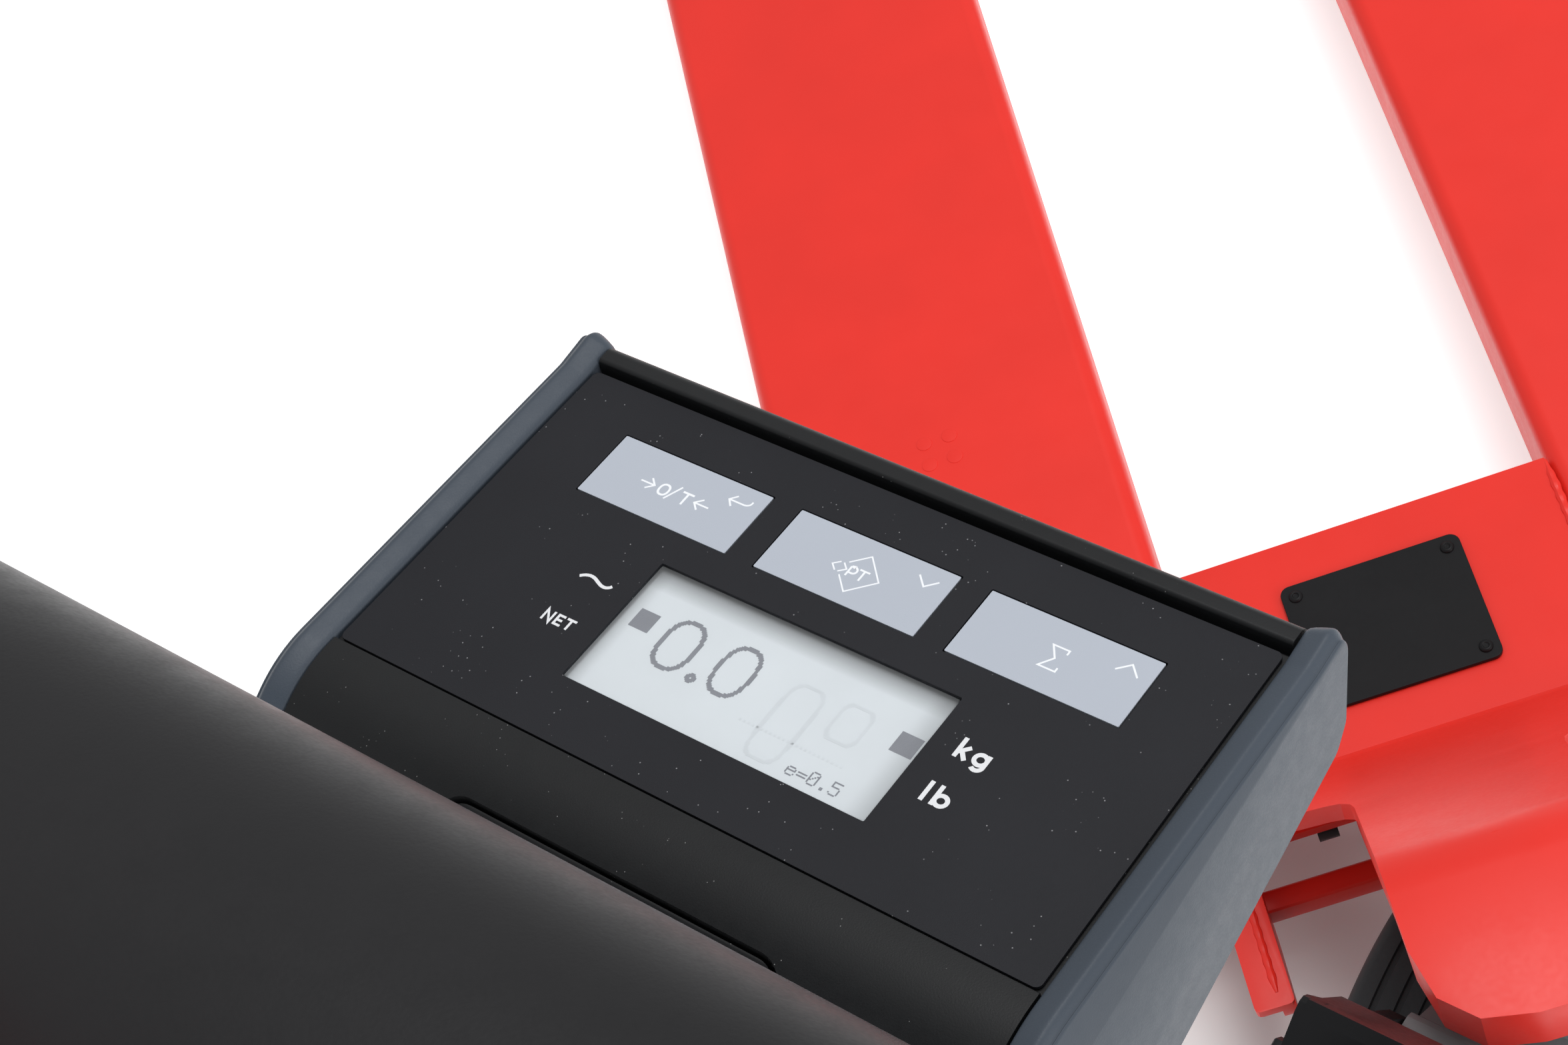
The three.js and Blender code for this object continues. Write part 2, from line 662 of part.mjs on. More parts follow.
function tillerBase() {
  const cheek = (x0) =>
    prismX(
      [
        [...up(-16, 14), 14],
        [...up(-2, -42), 12],
        [...up(24, -44), 12],
        [...up(112, -24), 6],
        [...up(112, 24), 6],
        [...up(20, 14), 16],
      ].reverse(),
      x0,
      x0 + 8,
    );
  const bridge = prismX([up(76, -23), up(112, -23), up(112, 23), up(76, 23)].reverse(), -33, 33);
  return cut(
    join(cheek(28), cheek(-36), bridge),
    rod("x", PIVOT_R + GAP, -50, 50, TILLER_PIVOT.y, TILLER_PIVOT.z, 20),
    rod("x", 4 + GAP, -50, 50, CAM.y, CAM.z, 16),
    tube(TUBE_R + GAP, 0.4),
  );
}

// The tiller tube leans back from its socket, then bends upright below the handle.
function tube(radius, past = 0) {
  const start = 84 - past;
  const bend = 70;
  const foot = [0, TILLER_PIVOT.y - start * Math.sin(LEAN), TILLER_PIVOT.z + start * Math.cos(LEAN)];
  const below = [0, TUBE_BEND.y + bend * Math.sin(LEAN), TUBE_BEND.z - bend * Math.cos(LEAN)];
  const corner = [0, TUBE_BEND.y, TUBE_BEND.z];
  const above = [0, TUBE_BEND.y + 2, TUBE_BEND.z + bend];
  const curve = new THREE.QuadraticBezierCurve3(
    new THREE.Vector3(...below),
    new THREE.Vector3(...corner),
    new THREE.Vector3(...above),
  );
  const path = new THREE.CurvePath();
  path.add(new THREE.LineCurve3(new THREE.Vector3(...foot), new THREE.Vector3(...below)));
  path.add(curve);
  const end = new THREE.Vector3(0, HEAD_BAR.y, HEAD_BAR.z - 20 + past);
  path.add(new THREE.LineCurve3(new THREE.Vector3(...above), end));
  const circle = Array.from({ length: 14 }, (_, i) => {
    const angle = (i / 14) * 2 * Math.PI;
    return new THREE.Vector2(radius * Math.cos(angle), radius * Math.sin(angle));
  });
  return solid(new THREE.ExtrudeGeometry(new THREE.Shape(circle), { steps: 16, extrudePath: path }));
}

function ovalBar(depth, height, half) {
  const outline = Array.from({ length: 20 }, (_, i) => {
    const angle = (i / 20) * 2 * Math.PI;
    return [HEAD_BAR.y + depth * Math.cos(angle), HEAD_BAR.z + height * Math.sin(angle)];
  });
  return prismX(outline, -half, half);
}

const GRIP_R = 15;
const GRIP_TOP = { y: HEAD_BAR.y - 52, z: HEAD_BAR.z + 146 };
function handle() {
  const half = HEAD_BAR.half - 22;
  const middle = { y: (HEAD_BAR.y + GRIP_TOP.y) / 2, z: (HEAD_BAR.z + GRIP_TOP.z) / 2 };
  const loop = bar(
    [
      [-half, HEAD_BAR.y, HEAD_BAR.z],
      [-half, middle.y, middle.z],
      [-half + 14, GRIP_TOP.y + 8, GRIP_TOP.z - 22],
      [-half + 46, GRIP_TOP.y, GRIP_TOP.z],
      [0, GRIP_TOP.y, GRIP_TOP.z],
      [half - 46, GRIP_TOP.y, GRIP_TOP.z],
      [half - 14, GRIP_TOP.y + 8, GRIP_TOP.z - 22],
      [half, middle.y, middle.z],
      [half, HEAD_BAR.y, HEAD_BAR.z],
    ],
    GRIP_R,
    28,
    10,
  );
  const body = join(
    ovalBar(HEAD_BAR.depth, HEAD_BAR.height, HEAD_BAR.half - 8),
    ovalBar(HEAD_BAR.depth - 8, HEAD_BAR.height - 7, HEAD_BAR.half),
    rod("z", 25, HEAD_BAR.z - 62, HEAD_BAR.z, 0, HEAD_BAR.y - 2, 20),
    loop,
  );
  const leverSlot = block(-9, 9, HEAD_BAR.y - 34, HEAD_BAR.y + 22, HEAD_BAR.z - 4, HEAD_BAR.z + 40);
  return cut(body, tube(TUBE_R + GAP, 0.4), leverSlot, leverPin(GAP, 30));
}

// The pin that the control lever turns on, thickened by a clearance for the bores around it.
function leverPin(clearance, half) {
  return rod("x", 3 + clearance, -half, half, HEAD_BAR.y - 6, HEAD_BAR.z + 10, 12);
}

function controlLever() {
  const { y, z } = HEAD_BAR;
  return cut(
    prismX(
      [
        [y - 16, z + 4, 6],
        [y + 4, z + 4, 6],
        [y + 2, z + 30, 10],
        [y - 26, z + 84, 8],
        [y - 30, z + 108, 6],
        [y - 44, z + 106, 5],
        [y - 38, z + 74, 8],
        [y - 16, z + 26, 10],
      ],
      -7.5,
      7.5,
    ).add(prismX(rectangle(y - 46, y - 30, z + 96, z + 108, 5), -34, 34)),
    leverPin(GAP, 30),
  );
}

add(steering, "tiller_base", tillerBase(), BLACK);
add(steering, "tiller_pin", rod("x", PIVOT_R, -40, 40, TILLER_PIVOT.y, TILLER_PIVOT.z, 20), STEEL);
add(steering, "cam_roller", ringX(4 + GAP, CAM.r, -CAM.half, CAM.half, CAM.y, CAM.z, 16), STEEL);
add(steering, "cam_pin", rod("x", 4, -38, 38, CAM.y, CAM.z, 16), STEEL);
add(steering, "tiller_tube", tube(TUBE_R), BLACK);
add(steering, "handle", handle(), BLACK);
add(steering, "control_lever", controlLever(), RED);
add(steering, "lever_pin", leverPin(0, 24), STEEL);

// ---- Indicator ----
// The near edge of the face rolls over in an arc into a flat slope.
const SLOPE_TOP = {
  y: FOLD.y - FOLD.r * Math.sin(FOLD.angle),
  z: FOLD.z - FOLD.r * (1 - Math.cos(FOLD.angle)),
};
const SLOPE_LENGTH = (SLOPE_TOP.y - FOLD.end) / Math.cos(FOLD.angle);

// A point at a distance down the slope from the end of the arc, and at a depth below it.
function onSlope(down, depth = 0) {
  return [
    SLOPE_TOP.y - down * Math.cos(FOLD.angle) + depth * Math.sin(FOLD.angle),
    SLOPE_TOP.z - down * Math.sin(FOLD.angle) - depth * Math.cos(FOLD.angle),
  ];
}

// Points on the arc of the near edge, moved outwards by an offset.
function foldArc(offset, steps = 4) {
  return Array.from({ length: steps + 1 }, (_, i) => {
    const angle = (FOLD.angle * i) / steps;
    const radius = FOLD.r + offset;
    return [FOLD.y - radius * Math.sin(angle), FOLD.z - FOLD.r + radius * Math.cos(angle)];
  });
}

// Side profile of the extruded housing, as [y, z] corners going round from the near edge of the face.
const PROFILE = [
  [-FACE_HALF - 0.4, 0],
  [-FACE_HALF - 0.4, FOLD.z],
  ...foldArc(0),
  [...onSlope(SLOPE_LENGTH), 6],
  [-72, -64.5, 8],
  [44, -25.5, 5],
  [48.2, -20, 5],
  [50, 2.6, 6],
  [44.4, 2.6, 1.2],
  [44.2, -1.6],
  [FACE_HALF + 0.4, -1.6],
  [FACE_HALF + 0.4, 0],
];

function shrunk(wall) {
  return [
    [FOLD.y, FOLD.z - 1.4 * wall],
    onSlope(0, wall),
    [...onSlope(SLOPE_LENGTH - 1.6 * wall, wall), 4],
    [-72 + wall, -64.5 + wall, 5],
    [44 - wall, -25.5 + wall, 3],
    [48 - wall, -19, 3],
    [49 - wall, -wall - 2, 3],
  ];
}

// The battery opening seen along the housing's own z axis, with round corners.
function batteryOpening(gap) {
  const top = SLOPE_TOP.y - gap;
  return prismZ(rectangle(gap - COVER.half - 0.7, COVER.half + 0.7 - gap, -120, top, 7), -60 + gap, 10);
}

function indicatorBody() {
  const outside = prismX(PROFILE, -FOIL_HALF - 0.6, FOIL_HALF + 0.6);
  const inside = prismX(shrunk(WALL), -FOIL_HALF - 2, FOIL_HALF + 2);
  const windowHole = block(WINDOW.left - 2, WINDOW.right + 2, WINDOW.low - 2, WINDOW.high + 2, -6, 2);
  const keyHoles = [0, 1, 2].map((i) => {
    const x = KEY.x + i * KEY.pitch;
    return block(x - 8, x + 8, KEY.y - 5, KEY.y + 5, -6, 2);
  });
  const glandHole = rod("z", GLAND.r + GAP, -60, -20, GLAND.x, GLAND.y);
  return cut(outside, inside, windowHole, ...keyHoles, batteryOpening(0), glandHole);
}

function batteryCover() {
  const plate = prismX(
    [
      onSlope(1, COVER.depth),
      onSlope(SLOPE_LENGTH - 1.2, COVER.depth),
      [-71.8, -59],
      [-68.6, -59],
      onSlope(SLOPE_LENGTH - 3.4, COVER.depth + COVER.t),
      onSlope(1, COVER.depth + COVER.t),
    ],
    -COVER.half,
    COVER.half,
  );
  return plate.intersect(batteryOpening(0.7));
}

function endCap(side) {
  const corners = [
    ...foldArc(1.8),
    [SLOPE_TOP.y - 23.4, SLOPE_TOP.z - 12, 9],
    [-74, -67.6, 9],
    [46, -27.9, 6],
    [50.4, -21.5, 6],
    [52.6, 0, 8],
    [50, 4.6, 6],
    [40, FOLD.z + 1.8, 5],
  ];
  const inner = FOIL_HALF + 0.6 + GAP;
  const outer = inner + CAP_T - 1.6;
  const scaleAt = (s) => corners.map(([y, z, r]) => [(y + 12) * s - 12, (z + 25) * s - 25, r]);
  const layers = [
    prismX(scaleAt(1), side > 0 ? inner : -outer, side > 0 ? outer : -inner),
    prismX(scaleAt(0.975), side > 0 ? inner : -outer - 0.9, side > 0 ? outer + 0.9 : -inner),
    prismX(scaleAt(0.955), side > 0 ? inner : -outer - 1.6, side > 0 ? outer + 1.6 : -inner),
  ];
  return join(...layers);
}

function keypadFoil() {
  const sheet = prismZ(rectangle(-FOIL_HALF, FOIL_HALF, -FACE_HALF, FACE_HALF, 1.5), GAP, GAP + FOIL_T);
  const windowHole = block(WINDOW.left, WINDOW.right, WINDOW.low, WINDOW.high, -2, 4);
  const keyHoles = [0, 1, 2].map((i) => {
    const x = KEY.x + i * KEY.pitch;
    const [w, h] = [KEY.width / 2, KEY.height / 2];
    return block(x - w, x + w, KEY.y - h, KEY.y + h, -2, 4);
  });
  return cut(sheet, windowHole, ...keyHoles);
}

add(indicator, "indicator_body", indicatorBody(), ANTHRACITE);
SIDES.forEach((side) => add(indicator, `end_cap_${SIDE_NAME[side]}`, endCap(side), CAP_GREY));
add(indicator, "keypad_foil", keypadFoil(), FOIL);
["key_zero_tare", "key_preset", "key_total"].forEach((name, i) => {
  const x = KEY.x + i * KEY.pitch;
  const [w, h] = [KEY.width / 2 - GAP, KEY.height / 2 - GAP];
  const cap = block(x - w, x + w, KEY.y - h, KEY.y + h, KEY.travel + 0.05, GAP + FOIL_T);
  const stem = block(x - 6, x + 6, KEY.y - 3.5, KEY.y + 3.5, -7, KEY.travel + 0.4);
  add(indicator, name, join(cap, stem), KEY_GREY);
});
const display = [WINDOW.left + GAP, WINDOW.right - GAP, WINDOW.low + GAP, WINDOW.high - GAP];
add(indicator, "display_window", block(...display, -0.6, GAP + 0.5), LCD);
const panel = [WINDOW.left - 1.5, WINDOW.right + 1.5, WINDOW.low - 1.5, WINDOW.high + 1.5];
add(indicator, "lcd_panel", block(...panel, -5.5, -1), LCD);
add(indicator, "main_board", block(-80, 80, -36, 40, -10.5, -8.4), BOARD);
add(indicator, "battery_cover", batteryCover(), ANTHRACITE);
add(indicator, "battery_pack", block(-38, 38, -62, -34, -48, -24), BLACK);

// The bracket: a shelf under the sloping floor of the housing, and an arm with a clamp on the tiller tube.
function bracketShelf() {
  const underside = (y, drop) => -28 - (46 - y) * (38 / 118) - drop;
  const corners = [
    [20, underside(20, 0.4)],
    [20, underside(20, 5)],
    [-78, underside(-78, 5)],
    [-78, underside(-78, 0.4)],
  ];
  return prismX(corners.reverse(), -40, 40);
}

function bracketArm() {
  const clamp = prismX([up(535, -24), up(598, -24), up(598, 24), up(535, 24)].reverse(), -24, 24);
  const arm = prismX([up(535, 20), [-240, 782], [-240, 789.5], [-283, 786.5], up(598, 20)], -20, 20);
  return cut(join(clamp, arm), tube(TUBE_R + GAP));
}

const shelf = geometryOf(bracketShelf()).applyMatrix4(
  new THREE.Matrix4().makeRotationX(IND.tilt).setPosition(0, IND.y, IND.z),
);
add(steering, "indicator_bracket", join(solid(shelf), bracketArm()), STEEL);
add(
  indicator,
  "cable_gland",
  join(rod("z", GLAND.r, -42, -28, GLAND.x, GLAND.y), rod("z", GLAND.r + 3, -52, -40.5, GLAND.x, GLAND.y, 6)),
  BLACK,
);

// The row's origin is the floor point under the middle of the truck's box.
truck.updateMatrixWorld(true);
const extent = new THREE.Box3().setFromObject(truck, true);
const middle = extent.getCenter(new THREE.Vector3());
truck.position.set(-middle.x, -middle.y, -extent.min.z);
const part = new THREE.Group();
part.add(truck);

export default part;
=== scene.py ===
"""Visual model of a weighing hand pallet truck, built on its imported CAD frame.

Shapes are written in millimetres in three local frames (truck, steering unit, indicator)
and moved into the row frame, in metres, when each piece is made.
"""

import math

import bmesh
import bpy
from mathutils import Matrix, Vector


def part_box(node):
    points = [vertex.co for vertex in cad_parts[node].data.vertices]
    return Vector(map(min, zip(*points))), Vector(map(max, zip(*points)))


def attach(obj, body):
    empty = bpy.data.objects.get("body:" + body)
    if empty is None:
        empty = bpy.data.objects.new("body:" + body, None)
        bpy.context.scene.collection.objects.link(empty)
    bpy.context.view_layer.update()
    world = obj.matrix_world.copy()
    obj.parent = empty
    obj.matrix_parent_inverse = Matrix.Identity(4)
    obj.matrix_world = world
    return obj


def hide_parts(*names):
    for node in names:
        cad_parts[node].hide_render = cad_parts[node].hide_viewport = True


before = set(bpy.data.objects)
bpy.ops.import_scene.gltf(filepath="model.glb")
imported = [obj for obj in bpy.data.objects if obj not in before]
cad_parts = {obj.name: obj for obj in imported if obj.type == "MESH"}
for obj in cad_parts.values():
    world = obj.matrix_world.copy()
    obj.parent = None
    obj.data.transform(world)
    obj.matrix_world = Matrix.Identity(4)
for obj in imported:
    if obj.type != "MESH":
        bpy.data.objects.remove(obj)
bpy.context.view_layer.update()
SCENE = bpy.context.scene

# ---- Local frames ----
MM = Matrix.Scale(0.001, 4)
LOW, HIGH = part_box("lift_ram")
TRUCK = Matrix.Translation(((LOW.x + HIGH.x) / 2, (LOW.y + HIGH.y) / 2, 0)) @ MM
STEER_YAW = math.radians(-45)
FACE_TILT = math.radians(-12.6)
STEER = TRUCK @ Matrix.Rotation(STEER_YAW, 4, "Z")
IND = STEER @ Matrix.Translation((0, -206, 836)) @ Matrix.Rotation(FACE_TILT, 4, "X")
FACE = 1.1  # height of the foil's upper surface in the indicator frame
PRINT_Z = FACE + 0.02
EYE = (270.0, -243.2, 412.6)  # the camera from the foil, in the indicator frame
SIDE_NAME = {-1: "left", 1: "right"}


# ---- Camera ----
def add_camera():
    """The photograph's viewpoint, held relative to the indicator's face. Lens and sensor are in mm."""
    data = bpy.data.cameras.new("camera")
    data.sensor_width = 36
    data.lens = 64.57
    data.clip_start = 0.02
    data.clip_end = 60
    camera = bpy.data.objects.new("camera", data)
    SCENE.collection.objects.link(camera)
    spot = IND @ Vector((EYE[0], EYE[1], EYE[2] + FACE))
    ahead = Vector((-0.5086, 0.4698, -0.7215)).normalized()
    right = Vector((0.7915, 0.5849, -0.1770))
    right = (right - right.dot(ahead) * ahead).normalized()
    up = right.cross(ahead)
    turn = Matrix((right, up, -ahead)).transposed()
    turned = (IND.to_3x3() * 1000) @ turn
    camera.matrix_world = Matrix.Translation(spot) @ turned.to_4x4()
    SCENE.camera = camera


add_camera()


# ---- Materials ----
def map_range(tree, value, start, end, low=0.0, high=1.0):
    """Start to end becomes low to high."""
    node = tree.nodes.new("ShaderNodeMapRange")
    for name, number in (("From Min", start), ("From Max", end), ("To Min", low), ("To Max", high)):
        node.inputs[name].default_value = number
    tree.links.new(value, node.inputs["Value"])
    return node.outputs["Result"]


def material(
    name, color, roughness, metallic=0.0, specular=0.5, mottle=0.06, mottle_scale=14.0, grain=900.0,
    bump=0.08, depth=0.0002, spread=0.06, specks=None, coat=0.0, brushed=None,
):
    """Procedural finish: slow colour drift, fine grain in bump and roughness, optional specks and brushing."""
    mat = bpy.data.materials.new(name)
    mat.use_nodes = True
    tree = mat.node_tree
    nodes, links = tree.nodes, tree.links
    shader = nodes["Principled BSDF"]
    shader.inputs["Metallic"].default_value = metallic
    shader.inputs["Specular IOR Level"].default_value = specular
    shader.inputs["Coat Weight"].default_value = coat
    shader.inputs["Coat Roughness"].default_value = 0.15
    where = nodes.new("ShaderNodeTexCoord").outputs["Object"]

    def noise(scale, detail=3.0, stretch=None):
        node = nodes.new("ShaderNodeTexNoise")
        node.inputs["Scale"].default_value = scale
        node.inputs["Detail"].default_value = detail
        source = where
        if stretch:
            mapping = nodes.new("ShaderNodeMapping")
            mapping.inputs["Scale"].default_value = stretch
            links.new(where, mapping.inputs["Vector"])
            source = mapping.outputs["Vector"]
        links.new(source, node.inputs["Vector"])
        return node.outputs["Fac"]

    def between(value, low, high, start=0.3, end=0.7):
        return map_range(tree, value, start, end, low, high)

    def mixed(factor, one, two):
        node = nodes.new("ShaderNodeMix")
        node.data_type = "RGBA"
        links.new(factor, node.inputs[0])
        for value, socket in ((one, node.inputs[6]), (two, node.inputs[7])):
            if isinstance(value, tuple):
                socket.default_value = value
            else:
                links.new(value, socket)
        return node.outputs[2]

    dark = tuple(c * (1 - mottle) for c in color) + (1.0,)
    light = tuple(min(1.0, c * (1 + mottle)) for c in color) + (1.0,)
    shade = mixed(between(noise(mottle_scale, 4.0), 0.0, 1.0), dark, light)
    if specks:
        amount, speck_color, speck_scale = specks
        dots = nodes.new("ShaderNodeTexVoronoi")
        dots.inputs["Scale"].default_value = speck_scale
        links.new(where, dots.inputs["Vector"])
        mask = between(dots.outputs["Distance"], 1.0, 0.0, amount * 0.6, amount)
        rare = between(noise(speck_scale * 0.23, 1.0), 0.0, 1.0, 0.56, 0.6)
        both = nodes.new("ShaderNodeMath")
        both.operation = "MULTIPLY"
        links.new(mask, both.inputs[0])
        links.new(rare, both.inputs[1])
        shade = mixed(both.outputs[0], shade, speck_color + (1.0,))
    links.new(shade, shader.inputs["Base Color"])
    fine = noise(grain, 2.0, brushed)
    wide = noise(grain * 0.13, 3.0, brushed)
    rough = nodes.new("ShaderNodeMath")
    rough.operation = "ADD"
    links.new(between(fine, roughness - spread / 2, roughness + spread / 2), rough.inputs[0])
    links.new(between(wide, -spread / 2, spread / 2), rough.inputs[1])
    links.new(rough.outputs[0], shader.inputs["Roughness"])
    relief = nodes.new("ShaderNodeBump")
    relief.inputs["Strength"].default_value = bump
    relief.inputs["Distance"].default_value = depth
    links.new(fine, relief.inputs["Height"])
    links.new(relief.outputs["Normal"], shader.inputs["Normal"])
    return mat


RED = material(
    "red_paint", (0.71, 0.024, 0.0145), 0.40, specular=0.3, mottle=0.035, grain=420, bump=0.10, coat=0.04
)
# A darker copy of the red paint for the fork cores under the shells: painted shade, where the shells keep the
# light off them.
RED_SHADED = material(
    "inner_red_paint", (0.40, 0.016, 0.011), 0.5, specular=0.4, mottle=0.08, grain=420, bump=0.12
)
BLACK_PAINT = material(
    "black_paint", (0.0085, 0.0085, 0.0094), 0.38, specular=0.12, mottle=0.12, grain=500, bump=0.08
)
BLACK_PLASTIC = material(
    "black_plastic", (0.0105, 0.0105, 0.0115), 0.40, specular=0.2, mottle=0.12, grain=1400, bump=0.10
)
RIBBED = material("grip_rubber", (0.012, 0.012, 0.013), 0.7, specular=0.25, mottle=0.15, grain=1800, bump=0.3)
HOUSING = material(
    "anodised_black", (0.0075, 0.008, 0.0088), 0.44, specular=0.22, mottle=0.12, grain=2600, bump=0.12,
    specks=(0.10, (0.16, 0.16, 0.16), 700),
)
CAP = material("cap_grey", (0.045, 0.056, 0.072), 0.46, specular=0.2, mottle=0.05, grain=2400, bump=0.22)
FOIL = material(
    "foil", (0.0108, 0.0112, 0.0142), 0.5, specular=0.17, mottle=0.07, mottle_scale=40, grain=5200, bump=0.18,
    specks=(0.11, (0.20, 0.20, 0.21), 620),
)
KEY = material("key_grey", (0.36, 0.39, 0.445), 0.5, specular=0.35, mottle=0.015, grain=5200, bump=0.10)
PRINT = material("white_print", (0.63, 0.64, 0.66), 0.5, specular=0.3, mottle=0.03, grain=5200, bump=0.08)
LEGEND = material("key_legend", (0.72, 0.74, 0.77), 0.5, specular=0.3, mottle=0.02, grain=5200, bump=0.08)
LCD = material(
    "lcd", (0.53, 0.57, 0.60), 0.35, specular=0.3, mottle=0.02, mottle_scale=60, grain=3000, bump=0.02
)
SEGMENT = material(
    "lcd_segment", (0.135, 0.145, 0.172), 0.35, specular=0.3, mottle=0.05, mottle_scale=200, grain=3000
)
GHOST = material(
    "lcd_ghost", (0.493, 0.53, 0.56), 0.35, specular=0.3, mottle=0.03, mottle_scale=200, grain=3000
)
CLEAR = material("clear_window", (0.9, 0.92, 0.93), 0.06, mottle=0.01, bump=0.01, spread=0.02)
CLEAR.node_tree.nodes["Principled BSDF"].inputs["Alpha"].default_value = 0.05


def shade_edges(mat, *edges):
    """Darkens a finish towards lines in the indicator frame, painting in the shadow of the recess round it.

    An edge is (axis, dark end, light end, darkest share).
    """
    nodes, links = mat.node_tree.nodes, mat.node_tree.links
    socket = nodes["Principled BSDF"].inputs["Base Color"]
    shade = socket.links[0].from_socket
    where = nodes.new("ShaderNodeTexCoord").outputs["Object"]
    for axis, dark, light, share in edges:
        direction = (IND.to_3x3() @ Vector(axis)).normalized()
        along = nodes.new("ShaderNodeVectorMath")
        along.operation = "DOT_PRODUCT"
        links.new(where, along.inputs[0])
        along.inputs[1].default_value = direction
        start = direction.dot(IND.translation)
        span = start + dark * 0.001, start + light * 0.001
        ramp = map_range(mat.node_tree, along.outputs["Value"], *span, share)
        scaled = nodes.new("ShaderNodeVectorMath")
        scaled.operation = "SCALE"
        links.new(shade, scaled.inputs[0])
        links.new(ramp, scaled.inputs["Scale"])
        shade = scaled.outputs["Vector"]
    links.new(shade, socket)


shade_edges(LCD, ((0, 1, 0), 6.3, -0.3, 0.08), ((1, 0, 0), 36.0, 30.9, 0.74), ((1, 0, 0), -37.0, -33.6, 0.7))
STEEL = material(
    "steel", (0.42, 0.43, 0.44), 0.32, metallic=1, mottle=0.10, grain=700, bump=0.10, brushed=(1, 12, 12)
)
CHROME = material(
    "chrome", (0.72, 0.73, 0.74), 0.12, metallic=1, mottle=0.03, grain=900, bump=0.02, spread=0.05
)
CAST = material(
    "cast_grey", (0.15, 0.155, 0.16), 0.55, specular=0.45, mottle=0.14, grain=300, bump=0.35, depth=0.0004
)
PU = material("polyurethane", (0.30, 0.095, 0.035), 0.42, specular=0.45, mottle=0.08, grain=260, bump=0.12)
RUBBER = material(
    "rubber", (0.020, 0.020, 0.022), 0.72, specular=0.3, mottle=0.2, grain=380, bump=0.4, depth=0.0003
)
BOARD = material(
    "circuit_board", (0.010, 0.11, 0.052), 0.4, specular=0.5, mottle=0.12, mottle_scale=300, grain=900
)


# ---- Mesh helpers ----
def loft(bm, rings, cyclic=False, index=0):
    """Quads between rings of equal length, closed by end faces or joined round."""
    rows = [[bm.verts.new(point) for point in ring] for ring in rings]
    pairs = list(zip(rows, rows[1:]))
    if cyclic:
        pairs.append((rows[-1], rows[0]))
    count = len(rows[0])
    faces = []
    for a, b in pairs:
        for i in range(count):
            j = (i + 1) % count
            faces.append(bm.faces.new((a[i], a[j], b[j], b[i])))
    if not cyclic:
        faces.append(bm.faces.new(rows[0][::-1]))
        faces.append(bm.faces.new(rows[-1]))
    for face in faces:
        face.material_index = index


def fillet(corners, step=12.0):
    """(x, y, radius) corners as plain points, each round corner a true arc."""
    points = []
    count = len(corners)
    for i, corner in enumerate(corners):
        here = Vector(corner[:2])
        radius = corner[2] if len(corner) > 2 else 0
        before = Vector(corners[i - 1][:2]) - here
        after = Vector(corners[(i + 1) % count][:2]) - here
        if radius <= 0:
            points.append(here)
            continue
        half = before.angle(after) / 2
        reach = min(radius / math.tan(half), 0.49 * before.length, 0.49 * after.length)
        radius = reach * math.tan(half)
        centre = here + (before.normalized() + after.normalized()).normalized() * (radius / math.sin(half))
        start = here + before.normalized() * reach - centre
        end = here + after.normalized() * reach - centre
        turn = math.atan2(start.x * end.y - start.y * end.x, start.dot(end))
        steps = max(2, int(abs(math.degrees(turn)) / step) + 1)
        for k in range(steps + 1):
            angle = turn * k / steps
            cos, sin = math.cos(angle), math.sin(angle)
            points.append(centre + Vector((start.x * cos - start.y * sin, start.x * sin + start.y * cos)))
    return points


def rectangle(x0, x1, y0, y1, radius=0.0):
    return fillet([(x0, y0, radius), (x1, y0, radius), (x1, y1, radius), (x0, y1, radius)])


def on_axis(axis, at, u, v):
    """The point at `at` along the axis, with the other two coordinates u and v in x, y, z order."""
    return {"x": (at, u, v), "y": (u, at, v), "z": (u, v, at)}[axis]


def prism(bm, axis, outline, a, b, index=0):
    loft(bm, [[on_axis(axis, at, p[0], p[1]) for p in outline] for at in (a, b)], index=index)


def circle(u, v, radius, count):
    angles = [2 * math.pi * i / count for i in range(count)]
    return [(u + radius * math.cos(a), v + radius * math.sin(a)) for a in angles]


def lathe(bm, axis, profile, u=0.0, v=0.0, count=48, cyclic=False, index=0):
    """profile is (along, radius) pairs. cyclic joins the last to the first, for a piece with a bore."""
    rings = [[on_axis(axis, at, *p) for p in circle(u, v, radius, count)] for at, radius in profile]
    loft(bm, rings, cyclic=cyclic, index=index)


def sweep(bm, path, radius, count):
    """A round section carried along a path without twisting. radius is a number, or a function of 0 to 1."""
    points = [Vector(p) for p in path]
    outline = circle(0, 0, 1, count)
    tangent = (points[1] - points[0]).normalized()
    side = tangent.orthogonal().normalized()
    if abs(tangent.x) < 0.9:
        side = (Vector((1, 0, 0)) - tangent * tangent.x).normalized()
    rings = []
    for i, point in enumerate(points):
        ahead = points[min(i + 1, len(points) - 1)] - points[max(i - 1, 0)]
        tangent = ahead.normalized()
        side = (side - tangent * side.dot(tangent)).normalized()
        other = tangent.cross(side)
        size = radius(i / (len(points) - 1)) if callable(radius) else radius
        rings.append([point + side * (p[0] * size) + other * (p[1] * size) for p in outline])
    loft(bm, rings)


def smooth_path(points, steps):
    """A uniform Catmull-Rom curve through the points."""
    pts = [Vector(p) for p in points]
    pts = [pts[0] * 2 - pts[1]] + pts + [pts[-1] * 2 - pts[-2]]
    out = []
    for i in range(1, len(pts) - 2):
        a, b, c, d = pts[i - 1 : i + 3]
        for k in range(steps):
            t = k / steps
            bent = 2 * b + (c - a) * t + (2 * a - 5 * b + 4 * c - d) * t * t
            out.append(0.5 * (bent + (3 * b - a - 3 * c + d) * t**3))
    out.append(pts[-2])
    return out


def to_object(name, bm):
    mesh = bpy.data.meshes.new(name)
    bm.to_mesh(mesh)
    bm.free()
    obj = bpy.data.objects.new(name, mesh)
    SCENE.collection.objects.link(obj)
    return obj


